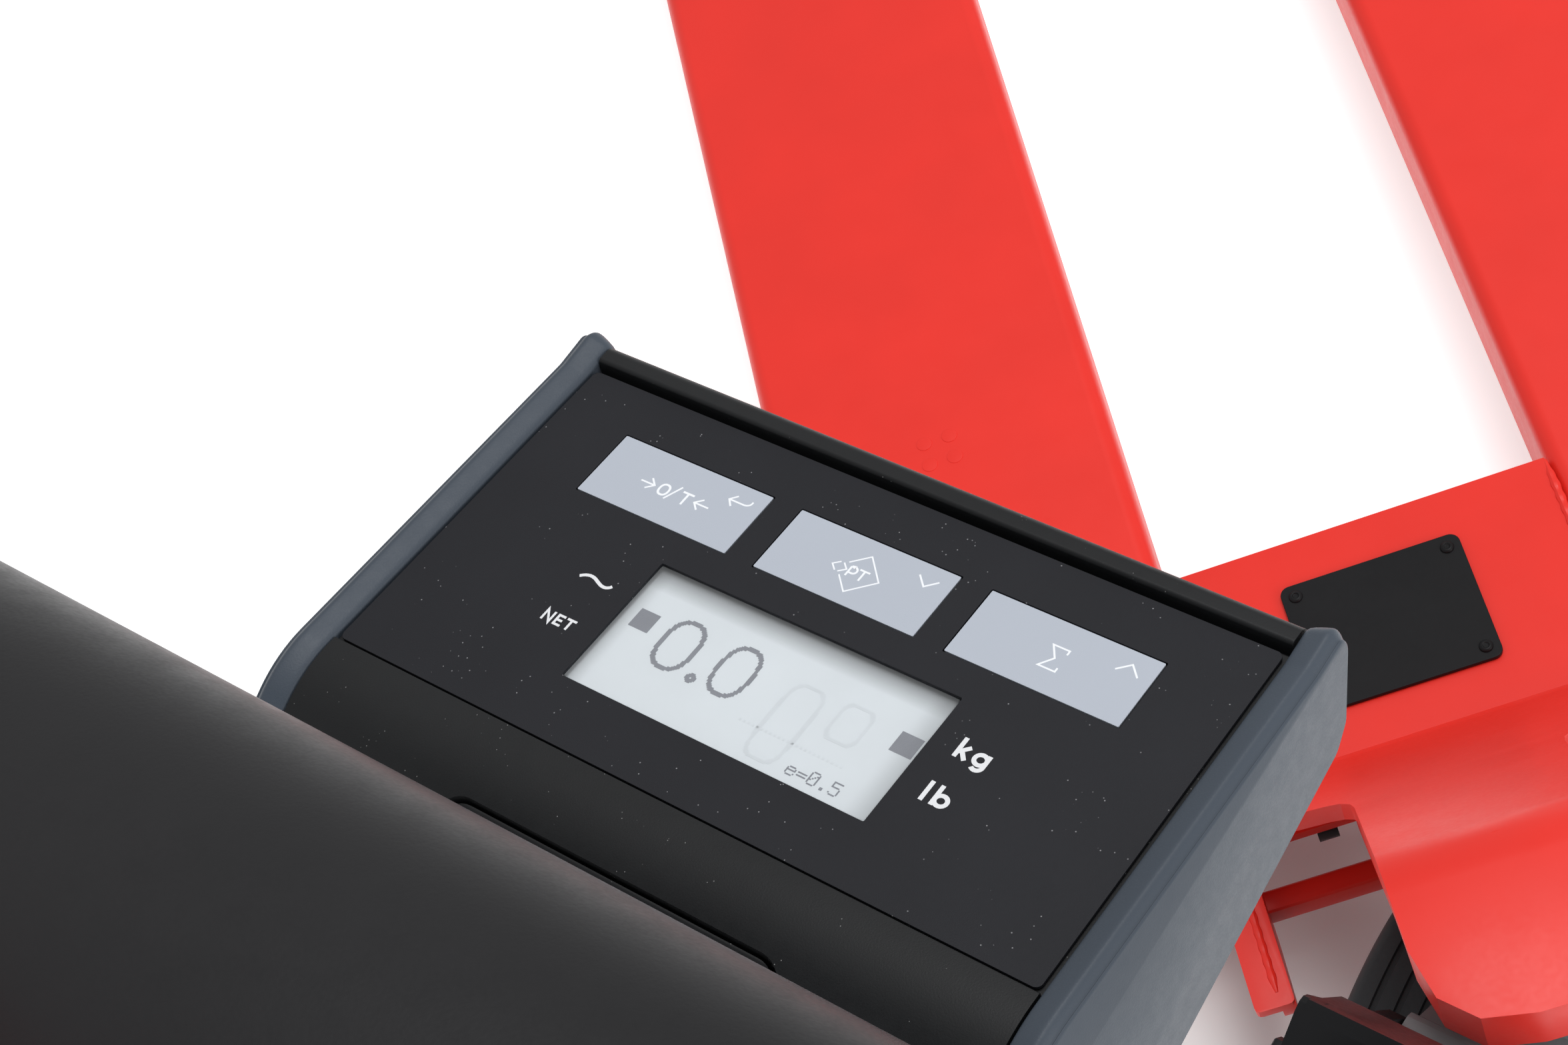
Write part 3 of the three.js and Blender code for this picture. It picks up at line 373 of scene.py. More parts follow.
def make(name, bm, where, mats, body, stands_for=(), bevel=0.0, steps=3, angle=32.0):
    """Turns a bmesh in a local frame into a named piece that rides on a body."""
    bmesh.ops.recalc_face_normals(bm, faces=bm.faces)
    bmesh.ops.transform(bm, matrix=where, verts=bm.verts)
    bm.normal_update()
    for face in bm.faces:
        face.smooth = True
    if not bevel:
        for edge in bm.edges:
            edge.smooth = not (edge.is_manifold and edge.calc_face_angle(0) > math.radians(angle))
    obj = to_object(name, bm)
    for mat in mats if isinstance(mats, list) else [mats]:
        obj.data.materials.append(mat)
    if bevel:
        add_bevel(obj, bevel, steps, angle)
    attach(obj, body)
    if stands_for:
        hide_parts(*stands_for)
    return obj


def add_bevel(obj, width, steps=3, angle=32.0):
    mod = obj.modifiers.new("bevel", "BEVEL")
    mod.width = width * 0.001
    mod.segments = steps
    mod.limit_method = "ANGLE"
    mod.angle_limit = math.radians(angle)
    mod.harden_normals = True
    mod.use_clamp_overlap = True


def merge(bm, draw, where):
    """Adds what draw() makes in a local frame to a bmesh."""
    part = bmesh.new()
    draw(part)
    bmesh.ops.recalc_face_normals(part, faces=part.faces)
    bmesh.ops.transform(part, matrix=where, verts=part.verts)
    mesh = bpy.data.meshes.new("extra")
    part.to_mesh(mesh)
    part.free()
    bm.from_mesh(mesh)
    bpy.data.meshes.remove(mesh)


def refine(node, mat, body, bevel=0.8, steps=3, extra=None, angle=32.0):
    """A finished copy of a CAD node: welded, its flat faces made whole, its edges rounded.

    extra is a function that draws loose geometry to add, with the frame it draws in.
    """
    bm = bmesh.new()
    bm.from_mesh(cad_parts[node].data)
    bmesh.ops.remove_doubles(bm, verts=bm.verts, dist=2e-6)
    bmesh.ops.dissolve_limit(bm, angle_limit=math.radians(0.6), verts=bm.verts, edges=bm.edges)
    for face in bm.faces:
        face.material_index = 0
    if extra:
        merge(bm, *extra)
    make(f"{node}.finish", bm, Matrix.Identity(4), mat, body, (node,), bevel, steps, angle)


def add_tool(target, shape, where, operation):
    """Gives the target a boolean with a bmesh drawn in a local frame."""
    bmesh.ops.transform(shape, matrix=where, verts=shape.verts)
    bmesh.ops.recalc_face_normals(shape, faces=shape.faces)
    mod = target.modifiers.new("tool", "BOOLEAN")
    mod.operation = operation
    mod.solver = "EXACT"
    mod.object = to_object("tool", shape)


def carve(target, cutters, where, bevel, steps, angle):
    """Cuts the cutters out, applies every boolean to the mesh, then rounds its edges."""
    for cutter in cutters:
        add_tool(target, cutter, where, "DIFFERENCE")
    graph = bpy.context.evaluated_depsgraph_get()
    made = bpy.data.meshes.new_from_object(target.evaluated_get(graph))
    tools = [mod.object for mod in target.modifiers]
    target.modifiers.clear()
    old = target.data
    target.data = made
    bpy.data.meshes.remove(old)
    for tool in tools:
        bpy.data.objects.remove(tool)
    add_bevel(target, bevel, steps, angle)


INK_DEPTH = 0.05


def ribbon(bm, points, width, z, index, closed=False):
    """A printed stroke of constant width on a plane, as a thin closed strip."""
    pts = [Vector(p) for p in points]
    count = len(pts)
    left, right = [], []
    for i, here in enumerate(pts):
        before = pts[i - 1] if i or closed else None
        after = pts[(i + 1) % count] if i < count - 1 or closed else None
        a = (here - before).normalized() if before is not None else None
        b = (after - here).normalized() if after is not None else None
        a, b = a or b, b or a
        normal = Vector((-a.y - b.y, a.x + b.x))
        normal = normal.normalized() / max(0.35, normal.length / 2)
        left.append(here + normal * width / 2)
        right.append(here - normal * width / 2)
    low = z - INK_DEPTH
    rings = [[(a.x, a.y, z), (b.x, b.y, z), (b.x, b.y, low), (a.x, a.y, low)] for a, b in zip(left, right)]
    loft(bm, rings, cyclic=closed, index=index)


def arc(cx, cy, rx, ry, start, end, steps=14, power=2.0):
    """Points on an ellipse, or on a superellipse when power is above 2."""
    e = 2 / power
    points = []
    for k in range(steps + 1):
        t = math.radians(start + (end - start) * k / steps)
        cos, sin = math.cos(t), math.sin(t)
        x, y = math.copysign(abs(cos) ** e, cos), math.copysign(abs(sin) ** e, sin)
        points.append((cx + rx * x, cy + ry * y))
    return points


# ---- Indicator ----
FOLD_Y, FOLD_Z, FOLD_R, FOLD_ANGLE = -45.0, 1.3, 28.0, math.radians(30)
TOP_Y = FOLD_Y - FOLD_R * math.sin(FOLD_ANGLE)
TOP_Z = FOLD_Z - FOLD_R * (1 - math.cos(FOLD_ANGLE))
SLOPE_LENGTH = (TOP_Y + 80) / math.cos(FOLD_ANGLE)
HALF = 85.6  # half length of the housing
GLAND = (52, 22)
KEYS = [
    (-46.6, "key_zero_tare", "zero_key"),
    (0.2, "key_preset", "preset_key"),
    (47.0, "key_total", "total_key"),
]
KEY_W, KEY_H, KEY_Y = 40.0, 17.7, 21.5
WINDOW = (-36.8, 37.1, -28.0, 4.8)
PANEL_Z = -1.0  # the display's upper surface


def on_slope(down, depth=0.0):
    cos, sin = math.cos(FOLD_ANGLE), math.sin(FOLD_ANGLE)
    return TOP_Y - down * cos + depth * sin, TOP_Z - down * sin - depth * cos


def fold_arc(offset=0.0, steps=12):
    radius = FOLD_R + offset
    angles = [FOLD_ANGLE * i / steps for i in range(steps + 1)]
    return [(FOLD_Y - radius * math.sin(a), FOLD_Z - FOLD_R + radius * math.cos(a)) for a in angles]


def battery_opening(gap):
    bm = bmesh.new()
    outline = rectangle(gap - 42.2, 42.2 - gap, -120, TOP_Y - gap, 6.5)
    prism(bm, "z", outline, gap - 60, 10)
    return bm


def block(x0, x1, y0, y1, z0, z1, radius=0.0):
    bm = bmesh.new()
    prism(bm, "z", rectangle(x0, x1, y0, y1, radius), z0, z1)
    return bm


def housing():
    """Extruded shell, hollow, with openings for the display, keys, battery and gland."""
    corners = [(-42.9, 0), (-42.9, FOLD_Z, 0.4)] + fold_arc()
    corners += [
        (*on_slope(SLOPE_LENGTH), 6), (-72, -64.5, 8), (44, -25.5, 5), (48.2, -20, 5), (50, 2.6, 5.5),
        (44.4, 2.6, 1.0), (44.2, -1.6, 0.3), (42.9, -1.6, 0.3), (42.9, 0),
    ]
    outline = fillet(corners, 6)
    corners = [
        (FOLD_Y, FOLD_Z - 4.2), on_slope(0, 3), (*on_slope(SLOPE_LENGTH - 4.8, 3), 4), (-69, -61.5, 5),
        (41, -22.5, 3), (45, -19, 3), (46, -5, 3),
    ]
    inside = fillet(corners)
    bm = bmesh.new()
    prism(bm, "x", outline, -HALF, HALF)
    body = make("housing.shell", bm, IND, HOUSING, "tiller", ("indicator_body",))
    hollow = bmesh.new()
    prism(hollow, "x", inside, -HALF - 3, HALF + 3)
    cutters = [hollow, block(WINDOW[0] - 2, WINDOW[1] + 2, WINDOW[2] - 2, WINDOW[3] + 2, -9, 6, 1)]
    cutters += [block(x - 8, x + 8, KEY_Y - 5, KEY_Y + 5, -9, 6, 1) for x, *_ in KEYS]
    gland = bmesh.new()
    lathe(gland, "z", [(-60, 6.4), (-15, 6.4)], *GLAND, 40)
    cutters += [battery_opening(0), gland]
    carve(body, cutters, IND, 0.25, 2, 38)
    body.data.shade_smooth()


def end_cap(side):
    """Moulded cap: a crowned band round the edge, a fine shadow line and a flat outer face."""
    corners = fold_arc(1.8, 8) + [
        (TOP_Y - 23.4, TOP_Z - 12, 9), (-74, -67.6, 9), (46, -27.9, 6), (50.4, -21.5, 6), (52.6, 0, 8),
        (50, 4.6, 6), (40, FOLD_Z + 1.8, 5),
    ]
    outline = [Vector(p) for p in fillet(corners, 8)]
    count = len(outline)
    normals = []
    for i in range(count):
        chord = (outline[(i + 1) % count] - outline[i - 1]).normalized()
        normals.append(Vector((-chord.y, chord.x)))
    centre = sum(outline, Vector((0, 0))) / count
    if sum(n.dot(p - centre) for n, p in zip(normals, outline)) < 0:
        normals = [-n for n in normals]
    section = [  # (distance from the middle, inset)
        (85.9, 2.6), (86.1, 2.0), (86.5, 1.6), (87.2, 1.2), (88.4, 0.72), (89.6, 0.3), (90.3, 0.08),
        (90.8, 0.0), (91.2, 0.07), (91.7, 0.38), (92.2, 0.8), (92.6, 1.2), (92.8, 1.42), (92.95, 1.46),
        (93.1, 1.36), (93.4, 1.45), (93.6, 1.8),
    ]
    edge = list(zip(outline, normals))
    bm = bmesh.new()
    loft(bm, [[(side * x, p.x - n.x * inset, p.y - n.y * inset) for p, n in edge] for x, inset in section])
    name = SIDE_NAME[side]
    make(f"cap_{name}.moulding", bm, IND, CAP, "tiller", (f"end_cap_{name}",), angle=50)


def letter(bm, index, z, width, *strokes):
    """Printed strokes. Each lies a hair above the last, so that crossings don't flicker."""
    for i, stroke in enumerate(strokes):
        closed = stroke[0] == stroke[-1] and len(stroke) > 2
        ribbon(bm, stroke[:-1] if closed else stroke, width, z + 0.002 * i, index, closed)


def shifted(strokes, x, y, scale):
    return [[(x + px * scale, y + py * scale) for px, py in stroke] for stroke in strokes]


# Strokes in a box one letter high.
GLYPHS = {
    "N": [[(0.1, 0), (0.1, 1), (0.78, 0), (0.78, 1)]],
    "E": [[(0.68, 0.91), (0.1, 0.91), (0.1, 0.09), (0.7, 0.09)], [(0.1, 0.5), (0.62, 0.5)]],
    "T": [[(0, 0.91), (0.84, 0.91)], [(0.42, 0.91), (0.42, 0)]],
    "P": [
        [(0.1, 0), (0.1, 0.91)],
        [(0.1, 0.91), (0.42, 0.91)] + arc(0.42, 0.63, 0.27, 0.28, 90, -90, 12) + [(0.1, 0.35)],
    ],
    "0": [arc(0.42, 0.5, 0.33, 0.41, 90, 450, 28, 2.3)],
    "k": [[(0.09, 0), (0.09, 1)], [(0.52, 0.66), (0.12, 0.27)], [(0.24, 0.38), (0.56, 0)]],
    "g": [
        arc(0.34, 0.33, 0.27, 0.25, 0, 360, 28),
        [(0.61, 0.66), (0.61, 0.08)] + arc(0.36, 0.04, 0.25, 0.22, 0, -140, 12),
    ],
    "l": [[(0.09, 0), (0.09, 1)]],
    "b": [[(0.09, 0), (0.09, 1)], arc(0.38, 0.33, 0.27, 0.25, 0, 360, 28)],
}


def word(bm, index, z, width, x, y, height, *letters):
    for glyph, offset in letters:
        letter(bm, index, z, width, *shifted(GLYPHS[glyph], x + offset, y, height))


def foil():
    """The keypad foil with its cut-outs and its prints."""
    bm = bmesh.new()
    prism(bm, "z", rectangle(-85, 85, -42.5, 42.5, 1.5), 0.3, FACE)
    sheet = make("keypad.foil", bm, IND, [FOIL, PRINT], "tiller", ("keypad_foil",))
    w, h = KEY_W / 2, KEY_H / 2
    cutters = [block(*WINDOW, -2, 4, 0.3)]
    cutters += [block(x - w, x + w, KEY_Y - h, KEY_Y + h, -2, 4, 0.3) for x, *_ in KEYS]
    carve(sheet, cutters, IND, 0.12, 2, 40)
    z = PRINT_Z
    ink = bmesh.new()
    wave = [
        (-50.2, -5.9), (-49.2, -5.2), (-48.0, -4.85), (-46.8, -5.0), (-45.6, -5.5), (-44.4, -5.95),
        (-43.3, -6.0), (-42.5, -5.6), (-42.1, -5.1),
    ]
    letter(ink, 0, z, 0.75, [(p.x, p.y) for p in smooth_path([(*p, 0) for p in wave], 4)])
    word(ink, 0, z, 0.56, -50.4, -18.7, 2.85, ("N", 0), ("E", 3.1), ("T", 5.5))
    word(ink, 0, z, 0.94, 42.9, -7.45, 4.85, ("k", 0), ("g", 3.85))
    word(ink, 0, z, 0.94, 43.0, -18.85, 4.85, ("l", 0), ("b", 2.3))
    make("foil.prints", ink, IND, PRINT, "tiller")


def key(index):
    """A flat key with its legends and a stem below it."""
    x, node, body = KEYS[index]
    bm = bmesh.new()
    w, h = KEY_W / 2 - 0.3, KEY_H / 2 - 0.3
    prism(bm, "z", rectangle(x - w, x + w, KEY_Y - h, KEY_Y + h, 0.25), 0.55, FACE)
    prism(bm, "z", rectangle(x - 6, x + 6, KEY_Y - 3.5, KEY_Y + 3.5, 1), -7, 0.56)
    z = PRINT_Z
    if index == 0:
        y = 21.3
        letter(bm, 1, z, 0.42, [(-55.4, y), (-51.9, y)], [(-53.4, y + 1.5), (-51.8, y), (-53.4, y - 1.5)])
        word(bm, 1, z, 0.52, -50.7, y - 1.8, 3.5, ("0", 0), ("T", 5.65))
        letter(bm, 1, z, 0.42, [(-47.9, y - 2.1), (-45.9, y + 2.3)])
        letter(bm, 1, z, 0.42, [(-41.1, y), (-37.5, y)], [(-39.6, y + 1.5), (-41.2, y), (-39.6, y - 1.5)])
        hook = [(-35.0, 25.5), (-31.4, 25.5)] + arc(-31.4, 26.6, 1.5, 1.1, -90, 0, 6)[1:] + [(-29.9, 27.0)]
        letter(bm, 1, z, 0.42, hook, [(-33.7, 27.0), (-35.1, 25.5), (-33.7, 24.0)])
    elif index == 1:
        y = 21.1
        cx = 0.9
        letter(
            bm, 1, z, 0.34,
            [(cx - 3.4, y + 1.8), (cx, y + 5.1), (cx + 5.1, y), (cx, y - 5.1), (cx - 3.4, y - 1.8)],
            [(cx - 4.9, y + 1.25), (cx - 6.3, y), (cx - 4.9, y - 1.25)],
            [(cx - 4.2, y + 1.25), (cx - 2.8, y), (cx - 4.2, y - 1.25)],
        )
        word(bm, 1, z, 0.46, -1.6, y - 1.45, 2.9, ("P", 0), ("T", 2.3))
        letter(bm, 1, z, 0.40, [(12.1, 26.8), (14.5, 24.5), (16.8, 26.8)])
    else:
        letter(
            bm, 1, z, 0.40,
            [(49.0, 23.0), (49.0, 24.1), (45.3, 24.1), (47.3, 21.3), (45.2, 18.5), (49.1, 18.5), (49.1, 19.5)],
            [(58.8, 24.5), (61.3, 26.9), (63.7, 24.5)],
        )
    name = node.replace("key_", "")
    make(f"{name}.key", bm, IND, [KEY, LEGEND], body, (node,), bevel=0.06, steps=2, angle=60)


def seen_at(x, y):
    """Where a point seen in the foil's plane lies on the display's plane below it, as the camera sees it."""
    below = FACE - PANEL_Z
    return x - (EYE[0] - x) * below / EYE[2], y + (y - EYE[1]) * below / EYE[2]


PIXEL = 0.36  # size of a display dot
SMALL_FONT = {
    "e": ["......", "......", "......", ".####.", "#....#", "######", "#.....", "#....#", ".####."],
    "=": ["......", "......", "......", "......", "######", "......", "######", "......", "......"],
    "0": [".####.", "#....#", "#...##", "#..#.#", "#.#..#", "##...#", "#....#", "#....#", ".####."],
    ".": ["......", "......", "......", "......", "......", "......", "......", "..##..", "..##.."],
    "5": ["######", "#.....", "#.....", "#####.", ".....#", ".....#", ".....#", "#....#", ".####."],
}


def display():
    """The graphic display: a pale panel with raised dots for the lit pixels and for faint marks a little
    darker than the panel.
    """
    bm = bmesh.new()
    x0, x1, y0, y1 = WINDOW
    prism(bm, "z", rectangle(x0 - 1.4, x1 + 1.4, y0 - 1.4, y1 + 1.4, 0.5), -5.4, PANEL_Z)

    def dot(x, y, size, index, z=PANEL_Z + 0.03):
        h = size / 2
        faces = [(x - h, y - h, z), (x + h, y - h, z), (x + h, y + h, z), (x - h, y + h, z)]
        base = [(p[0], p[1], PANEL_Z - 0.02) for p in faces]
        loft(bm, [base, faces], index=index)

    def ring(cx, cy, rx, ry, width, index, power=2.6):
        """Pixels between two superellipses."""
        nx, ny = int(rx / PIXEL) + 1, int(ry / PIXEL) + 1
        for i in range(-nx, nx + 1):
            for j in range(-ny, ny + 1):
                px, py = i * PIXEL, j * PIXEL
                outer = (abs(px) / rx) ** power + (abs(py) / ry) ** power
                inner = (abs(px) / max(0.01, rx - width)) ** power + (abs(py) / max(0.01, ry - width)) ** power
                if outer <= 1 < inner:
                    dot(cx + px, cy + py, PIXEL * 0.98, index)

    for left, right, top, bottom in ((-24.6, -15.7, -4.4, -17.5), (-10.3, -1.6, -4.4, -17.5)):
        ax, ay = seen_at(left, top)
        bx, by = seen_at(right, bottom)
        ring((ax + bx) / 2, (ay + by) / 2, (bx - ax) / 2, (ay - by) / 2, 1.0, 1)
    px, py = seen_at(-13.0, -16.4)
    ring(px, py, 1.18, 1.18, 1.17, 1, 2.0)
    for left, right, top, bottom in ((-32.9, -28.0, -6.6, -11.5), (31.6, 36.7, -7.1, -12.1)):
        ax, ay = seen_at(left, top)
        bx, by = seen_at(right, bottom)
        steps = 13
        size = (bx - ax) / steps
        for i in range(steps):
            for j in range(steps):
                dot(ax + (i + 0.5) * size, by + (j + 0.5) * (ay - by) / steps, size * 0.96, 1)
    x, y = seen_at(17.0, -23.0)
    for n, char in enumerate("e=0.5"):
        for row, line in enumerate(SMALL_FONT[char]):
            for column, mark in enumerate(line):
                if mark == "#":
                    dot(x + (n * 7.05 + column + 0.5) * PIXEL, y - (row + 0.5) * PIXEL, PIXEL * 0.94, 1)
    for x, y, rx, ry in ((21.8, -10.9, 3.8, 5.0), (10.4, -16.5, 4.4, 10.0)):
        gx, gy = seen_at(x, y)
        ring(gx, gy, rx, ry, 0.8, 2, 4.0)
    for step in range(24):
        gx, gy = seen_at(2.0 + step * 1.05, -19.8)
        dot(gx, gy, 0.55, 2)
    make("display.panel", bm, IND, [LCD, SEGMENT, GHOST], "tiller", ("lcd_panel",))
    pane = bmesh.new()
    prism(pane, "z", rectangle(x0 + 0.3, x1 - 0.3, y0 + 0.3, y1 - 0.3, 0.3), -0.6, 0.8)
    make("display.window", pane, IND, CLEAR, "tiller", ("display_window",), bevel=0.1, steps=2)


def battery_cover():
    """The sloping cover, kept inside its opening, with finger grooves."""
    corners = [
        (*on_slope(1, 0.6), 0.8), (*on_slope(SLOPE_LENGTH - 1.2, 0.6), 5), (-71.8, -59, 1), (-68.6, -59, 1),
        (*on_slope(SLOPE_LENGTH - 3.4, 3.4), 3), (*on_slope(1, 3.4), 0.6),
    ]
    bm = bmesh.new()
    prism(bm, "x", fillet(corners), -41.5, 41.5)
    cover = make("battery.cover", bm, IND, HOUSING, "cover", ("battery_cover",))
    add_tool(cover, battery_opening(0.7), IND, "INTERSECT")
    groove = bmesh.new()
    for k in range(5):
        y, z = on_slope(17.5 + k * 1.5, 0.5)
        lathe(groove, "x", [(-11, 0.35), (11, 0.35)], y, z, 12)
    carve(cover, [groove], IND, 0.3, 2, 38)
    cover.data.shade_smooth()


housing()
end_cap(-1)
end_cap(1)
foil()
for i in range(3):
    key(i)
display()
battery_cover()


# ---- Shared small parts ----
def chamfered(a, b, radius, cut):
    """Lathe profile of a round bar with chamfered ends."""
    return [(a, radius - cut), (a + cut, radius), (b - cut, radius), (b, radius - cut)]


def pin(name, axis, a, b, radius, u, v, where, body, node, groove=0.0):
    """A turned pin with chamfered ends and, if asked, a retaining ring in a groove near each end."""
    bm = bmesh.new()
    lathe(bm, axis, chamfered(a, b, radius, min(1.2, radius * 0.2)), u, v, 40)
    if groove:
        for at in (a + 3.2, b - 4.2):
            low, high = radius - 0.3, radius + groove
            lathe(bm, axis, [(at, low), (at, high), (at + 1, high), (at + 1, low)], u, v, 40, cyclic=True)
    for at, out in ((a, -1), (b, 1)):
        lathe(bm, axis, [(at - out * 0.2, 1.6), (at + out * 0.05, 1.6)], u, v, 16)
    make(name, bm, where, STEEL, body, (node,))


def hexagon(bm, axis, at, out, u, v, across, height):
    """A hexagon bolt head on a washer, standing on the plane `at` and pointing along `out`."""
    lathe(bm, axis, [(at - out * 0.2, across * 0.62), (at + out * 0.9, across * 0.62)], u, v, 32)
    outline = circle(u, v, across / 2 / math.cos(math.pi / 6), 6)
    small = circle(u, v, across / 2 * 1.02, 6)
    steps = [(at + out * 0.8, outline), (at + out * (height - 0.5), outline), (at + out * height, small)]
    loft(bm, [[on_axis(axis, x, *p) for p in ring] for x, ring in steps])


def socket_screw(bm, axis, at, out, u, v, radius, height, index=0):
    """A button-head screw with its hexagon socket."""
    dome = [
        (at - out * 0.2, radius), (at + out * 0.25 * height, radius), (at + out * 0.7 * height, radius * 0.88),
        (at + out * height, radius * 0.62), (at + out * height, radius * 0.45),
        (at + out * 0.5 * height, radius * 0.42),
    ]
    lathe(bm, axis, dome, u, v, 28, index=index)


def bead(bm, path, radius, phase):
    """A weld bead: a half-sunk bar with even ripples, tapering at its ends."""
    fine = []
    points = [Vector(p) for p in path]
    for a, b in zip(points, points[1:]):
        steps = max(2, int((b - a).length / 1.6))
        fine += [a.lerp(b, i / steps) for i in range(steps)]
    fine.append(points[-1])
    total = len(fine) - 1

    def size(t):
        ends = min(1.0, 8 * t + 0.35, 8 * (1 - t) + 0.35)
        return radius * ends * (1 + 0.10 * math.sin(t * total * 1.35 + phase))

    sweep(bm, fine, size, 10)


def mirrored(points):
    return [(-p[0], *p[1:]) for p in points]


def spun(bm, profile, x, u, v, count, index=0, sign=1, cyclic=True):
    """A ring turned round an axle along x. Where sign is -1 its profile is mirrored end for end."""
    lathe(bm, "x", [(x + sign * a, r) for a, r in profile], u, v, count, cyclic=cyclic, index=index)


# ---- Forks ----
FORK_X, FORK_TOP, FORK_LOW, TIP_Y, REAR_Y, HEEL_Y = 187.5, 90.0, 42.0, 1260.0, 150.0, 303.0
CELL_Y = (380.0, 800.0)
ROLLER_Y, ROLLER_R = 1140.0, 37.0
ARM_Y, ARM_Z = 977.0, 60.0


def fork_shell(side):
    """Pressed fork: a channel with rounded shoulders, a falling nose and screws above the load cells."""
    bm = bmesh.new()
    x0 = side * FORK_X
    wall, turn = 5.0, 9.0
    inner_end = TIP_Y - wall

    def section(half, top, inset=0.0):
        radius = turn - inset
        half, top = half - inset, top - inset
        points = []
        for sign in (-1, 1):
            centre = (sign * (half - radius), top - radius)
            for k in range(9):
                angle = math.radians((180 if sign < 0 else 90) - 90 * k / 8)
                points.append((centre[0] + radius * math.cos(angle), centre[1] + radius * math.sin(angle)))
        return [(-half, FORK_LOW)] + points + [(half, FORK_LOW)]

    stations = [REAR_Y, REAR_Y + 60, HEEL_Y, 420, 560, 700, 840, 980, 1100, 1180, 1192, 1198, 1202, 1208]
    stations += [1218 + 42 * math.sin(math.radians(a)) for a in (0, 15, 30, 42, 53, 62, 70, 77, 83, 90)]
    rings = []
    for y in stations:
        spare = 42 - math.sqrt(max(0.0, 42**2 - max(0.0, y - 1218) ** 2))
        half = 90 - spare
        drop = 26 * max(0.0, y - 1200) / 60
        if 1192 <= y <= 1208:
            drop = 26 / 60 * (y - 1192) ** 2 / 32
        top = FORK_TOP - drop
        inner = section(max(half, 50), top, wall)
        ring = [(x0 + p[0], y, p[1]) for p in section(half, top)]
        rings.append(ring + [(x0 + p[0], min(y, inner_end), p[1]) for p in inner[::-1]])
    loft(bm, rings)
    front = [
        (x0 - 47.8, FORK_LOW + 0.1), (x0 + 47.8, FORK_LOW + 0.1), (x0 + 47.8, 56.2), (x0 + 40, 63.6),
        (x0 - 40, 63.6), (x0 - 47.8, 56.2),
    ]
    prism(bm, "y", front, inner_end, TIP_Y - 0.15)
    screw = [(FORK_TOP - 0.2, 4.4), (FORK_TOP + 0.25, 4.2), (FORK_TOP + 0.3, 3.9)]
    for y in CELL_Y:
        for dx in (-7, 7):
            for dy in (38, 52):
                lathe(bm, "z", screw, x0 + dx, y + dy, 24)
    name = SIDE_NAME[side]
    make(f"fork_{name}.shell", bm, TRUCK, RED, "chassis", (f"fork_shell_{name}",), angle=28)


def cell_bolts(side, y):
    def draw(bm):
        for dy in (-48, -32):
            hexagon(bm, "z", 83.0, -1, side * FORK_X, y + dy, 9, 3.2)

    return draw


def load_roller(side):
    """Polyurethane tread on a steel sleeve, with a bearing and its seal at each end."""
    name = SIDE_NAME[side]
    axle = side * FORK_X, ROLLER_Y, ROLLER_R
    shoulder = [(34.8, 37), (37.4, 36.5), (39.2, 35.2), (40, 33.6), (40, 29.4), (38.6, 28.2)]
    sleeve = [(-39.6, 23.6), (-39.6, 28.6), (39.6, 28.6), (39.6, 23.6)]
    seal = [(37.6, 13.6), (38.2, 14.4), (38.2, 22.4), (37.6, 23.4), (26, 23.4), (26, 13.6)]
    race = [(39.0, 10.6), (39.4, 11.0), (39.4, 13.2), (39.0, 13.8), (26, 13.8), (26, 10.6)]
    bm = bmesh.new()
    spun(bm, mirrored(shoulder)[::-1] + shoulder, *axle, 72)
    spun(bm, sleeve, *axle, 48, 1)
    for sign in (-1, 1):
        spun(bm, seal, *axle, 48, 2, sign)
        spun(bm, race, *axle, 48, 1, sign)
    make(
        f"roller_{name}.wheel", bm, TRUCK, [PU, STEEL, RUBBER], f"roller_{name}", (f"load_roller_{name}",),
        angle=40,
    )


# ---- Chassis head ----
def head_beads(bm):
    for side in (-1, 1):
        bead(bm, [(side * 97.2, y, FORK_TOP - 0.9) for y in (151, 302)], 2.4, side)
        bead(bm, [(side * 105, y, 84.2) for y in (80, 148)], 2.0, 2 + side)
        bead(bm, [(side * 104.6, 133, 53), (side * 104.6, 133, 65)], 1.8, 5)


def junction_cover():
    bm = bmesh.new()
    low = FORK_TOP + 0.3
    prism(bm, "z", rectangle(-45, 45, 205, 277, 5), low, low + 2.5)
    for x in (-38, 38):
        for y in (212, 270):
            socket_screw(bm, "z", low + 2.5, 1, x, y, 3.4, 1.5)
    make("junction.cover", bm, TRUCK, BLACK_PAINT, "chassis", ("junction_cover",), bevel=0.5)


# ---- Pump and steering wheels ----
def pump_details(bm):
    for x in (-20, 20):
        for y in (-98, -14):
            hexagon(bm, "z", 186, 1, x, y, 8, 5)
    for x in (-16, 16):
        hexagon(bm, "z", 214, 1, x, -26, 7, 3)
    for side in (-1, 1):
        hexagon(bm, "x", side * 27, side, -60, 168, 11, 6)
        hexagon(bm, "x", side * 27, side, -40, 118, 9, 5)
    lathe(bm, "z", [(185.5, 7.5), (189, 7.5), (190, 6.5), (191.5, 6.2), (192, 5.4)], 0, -76, 32)
    for z in (84, 96, 232.5, 247):
        lathe(bm, "z", [(z - 1.2, 29.2), (z - 0.6, 30.4), (z + 0.6, 30.4), (z + 1.2, 29.2)], 0, 0, 48)


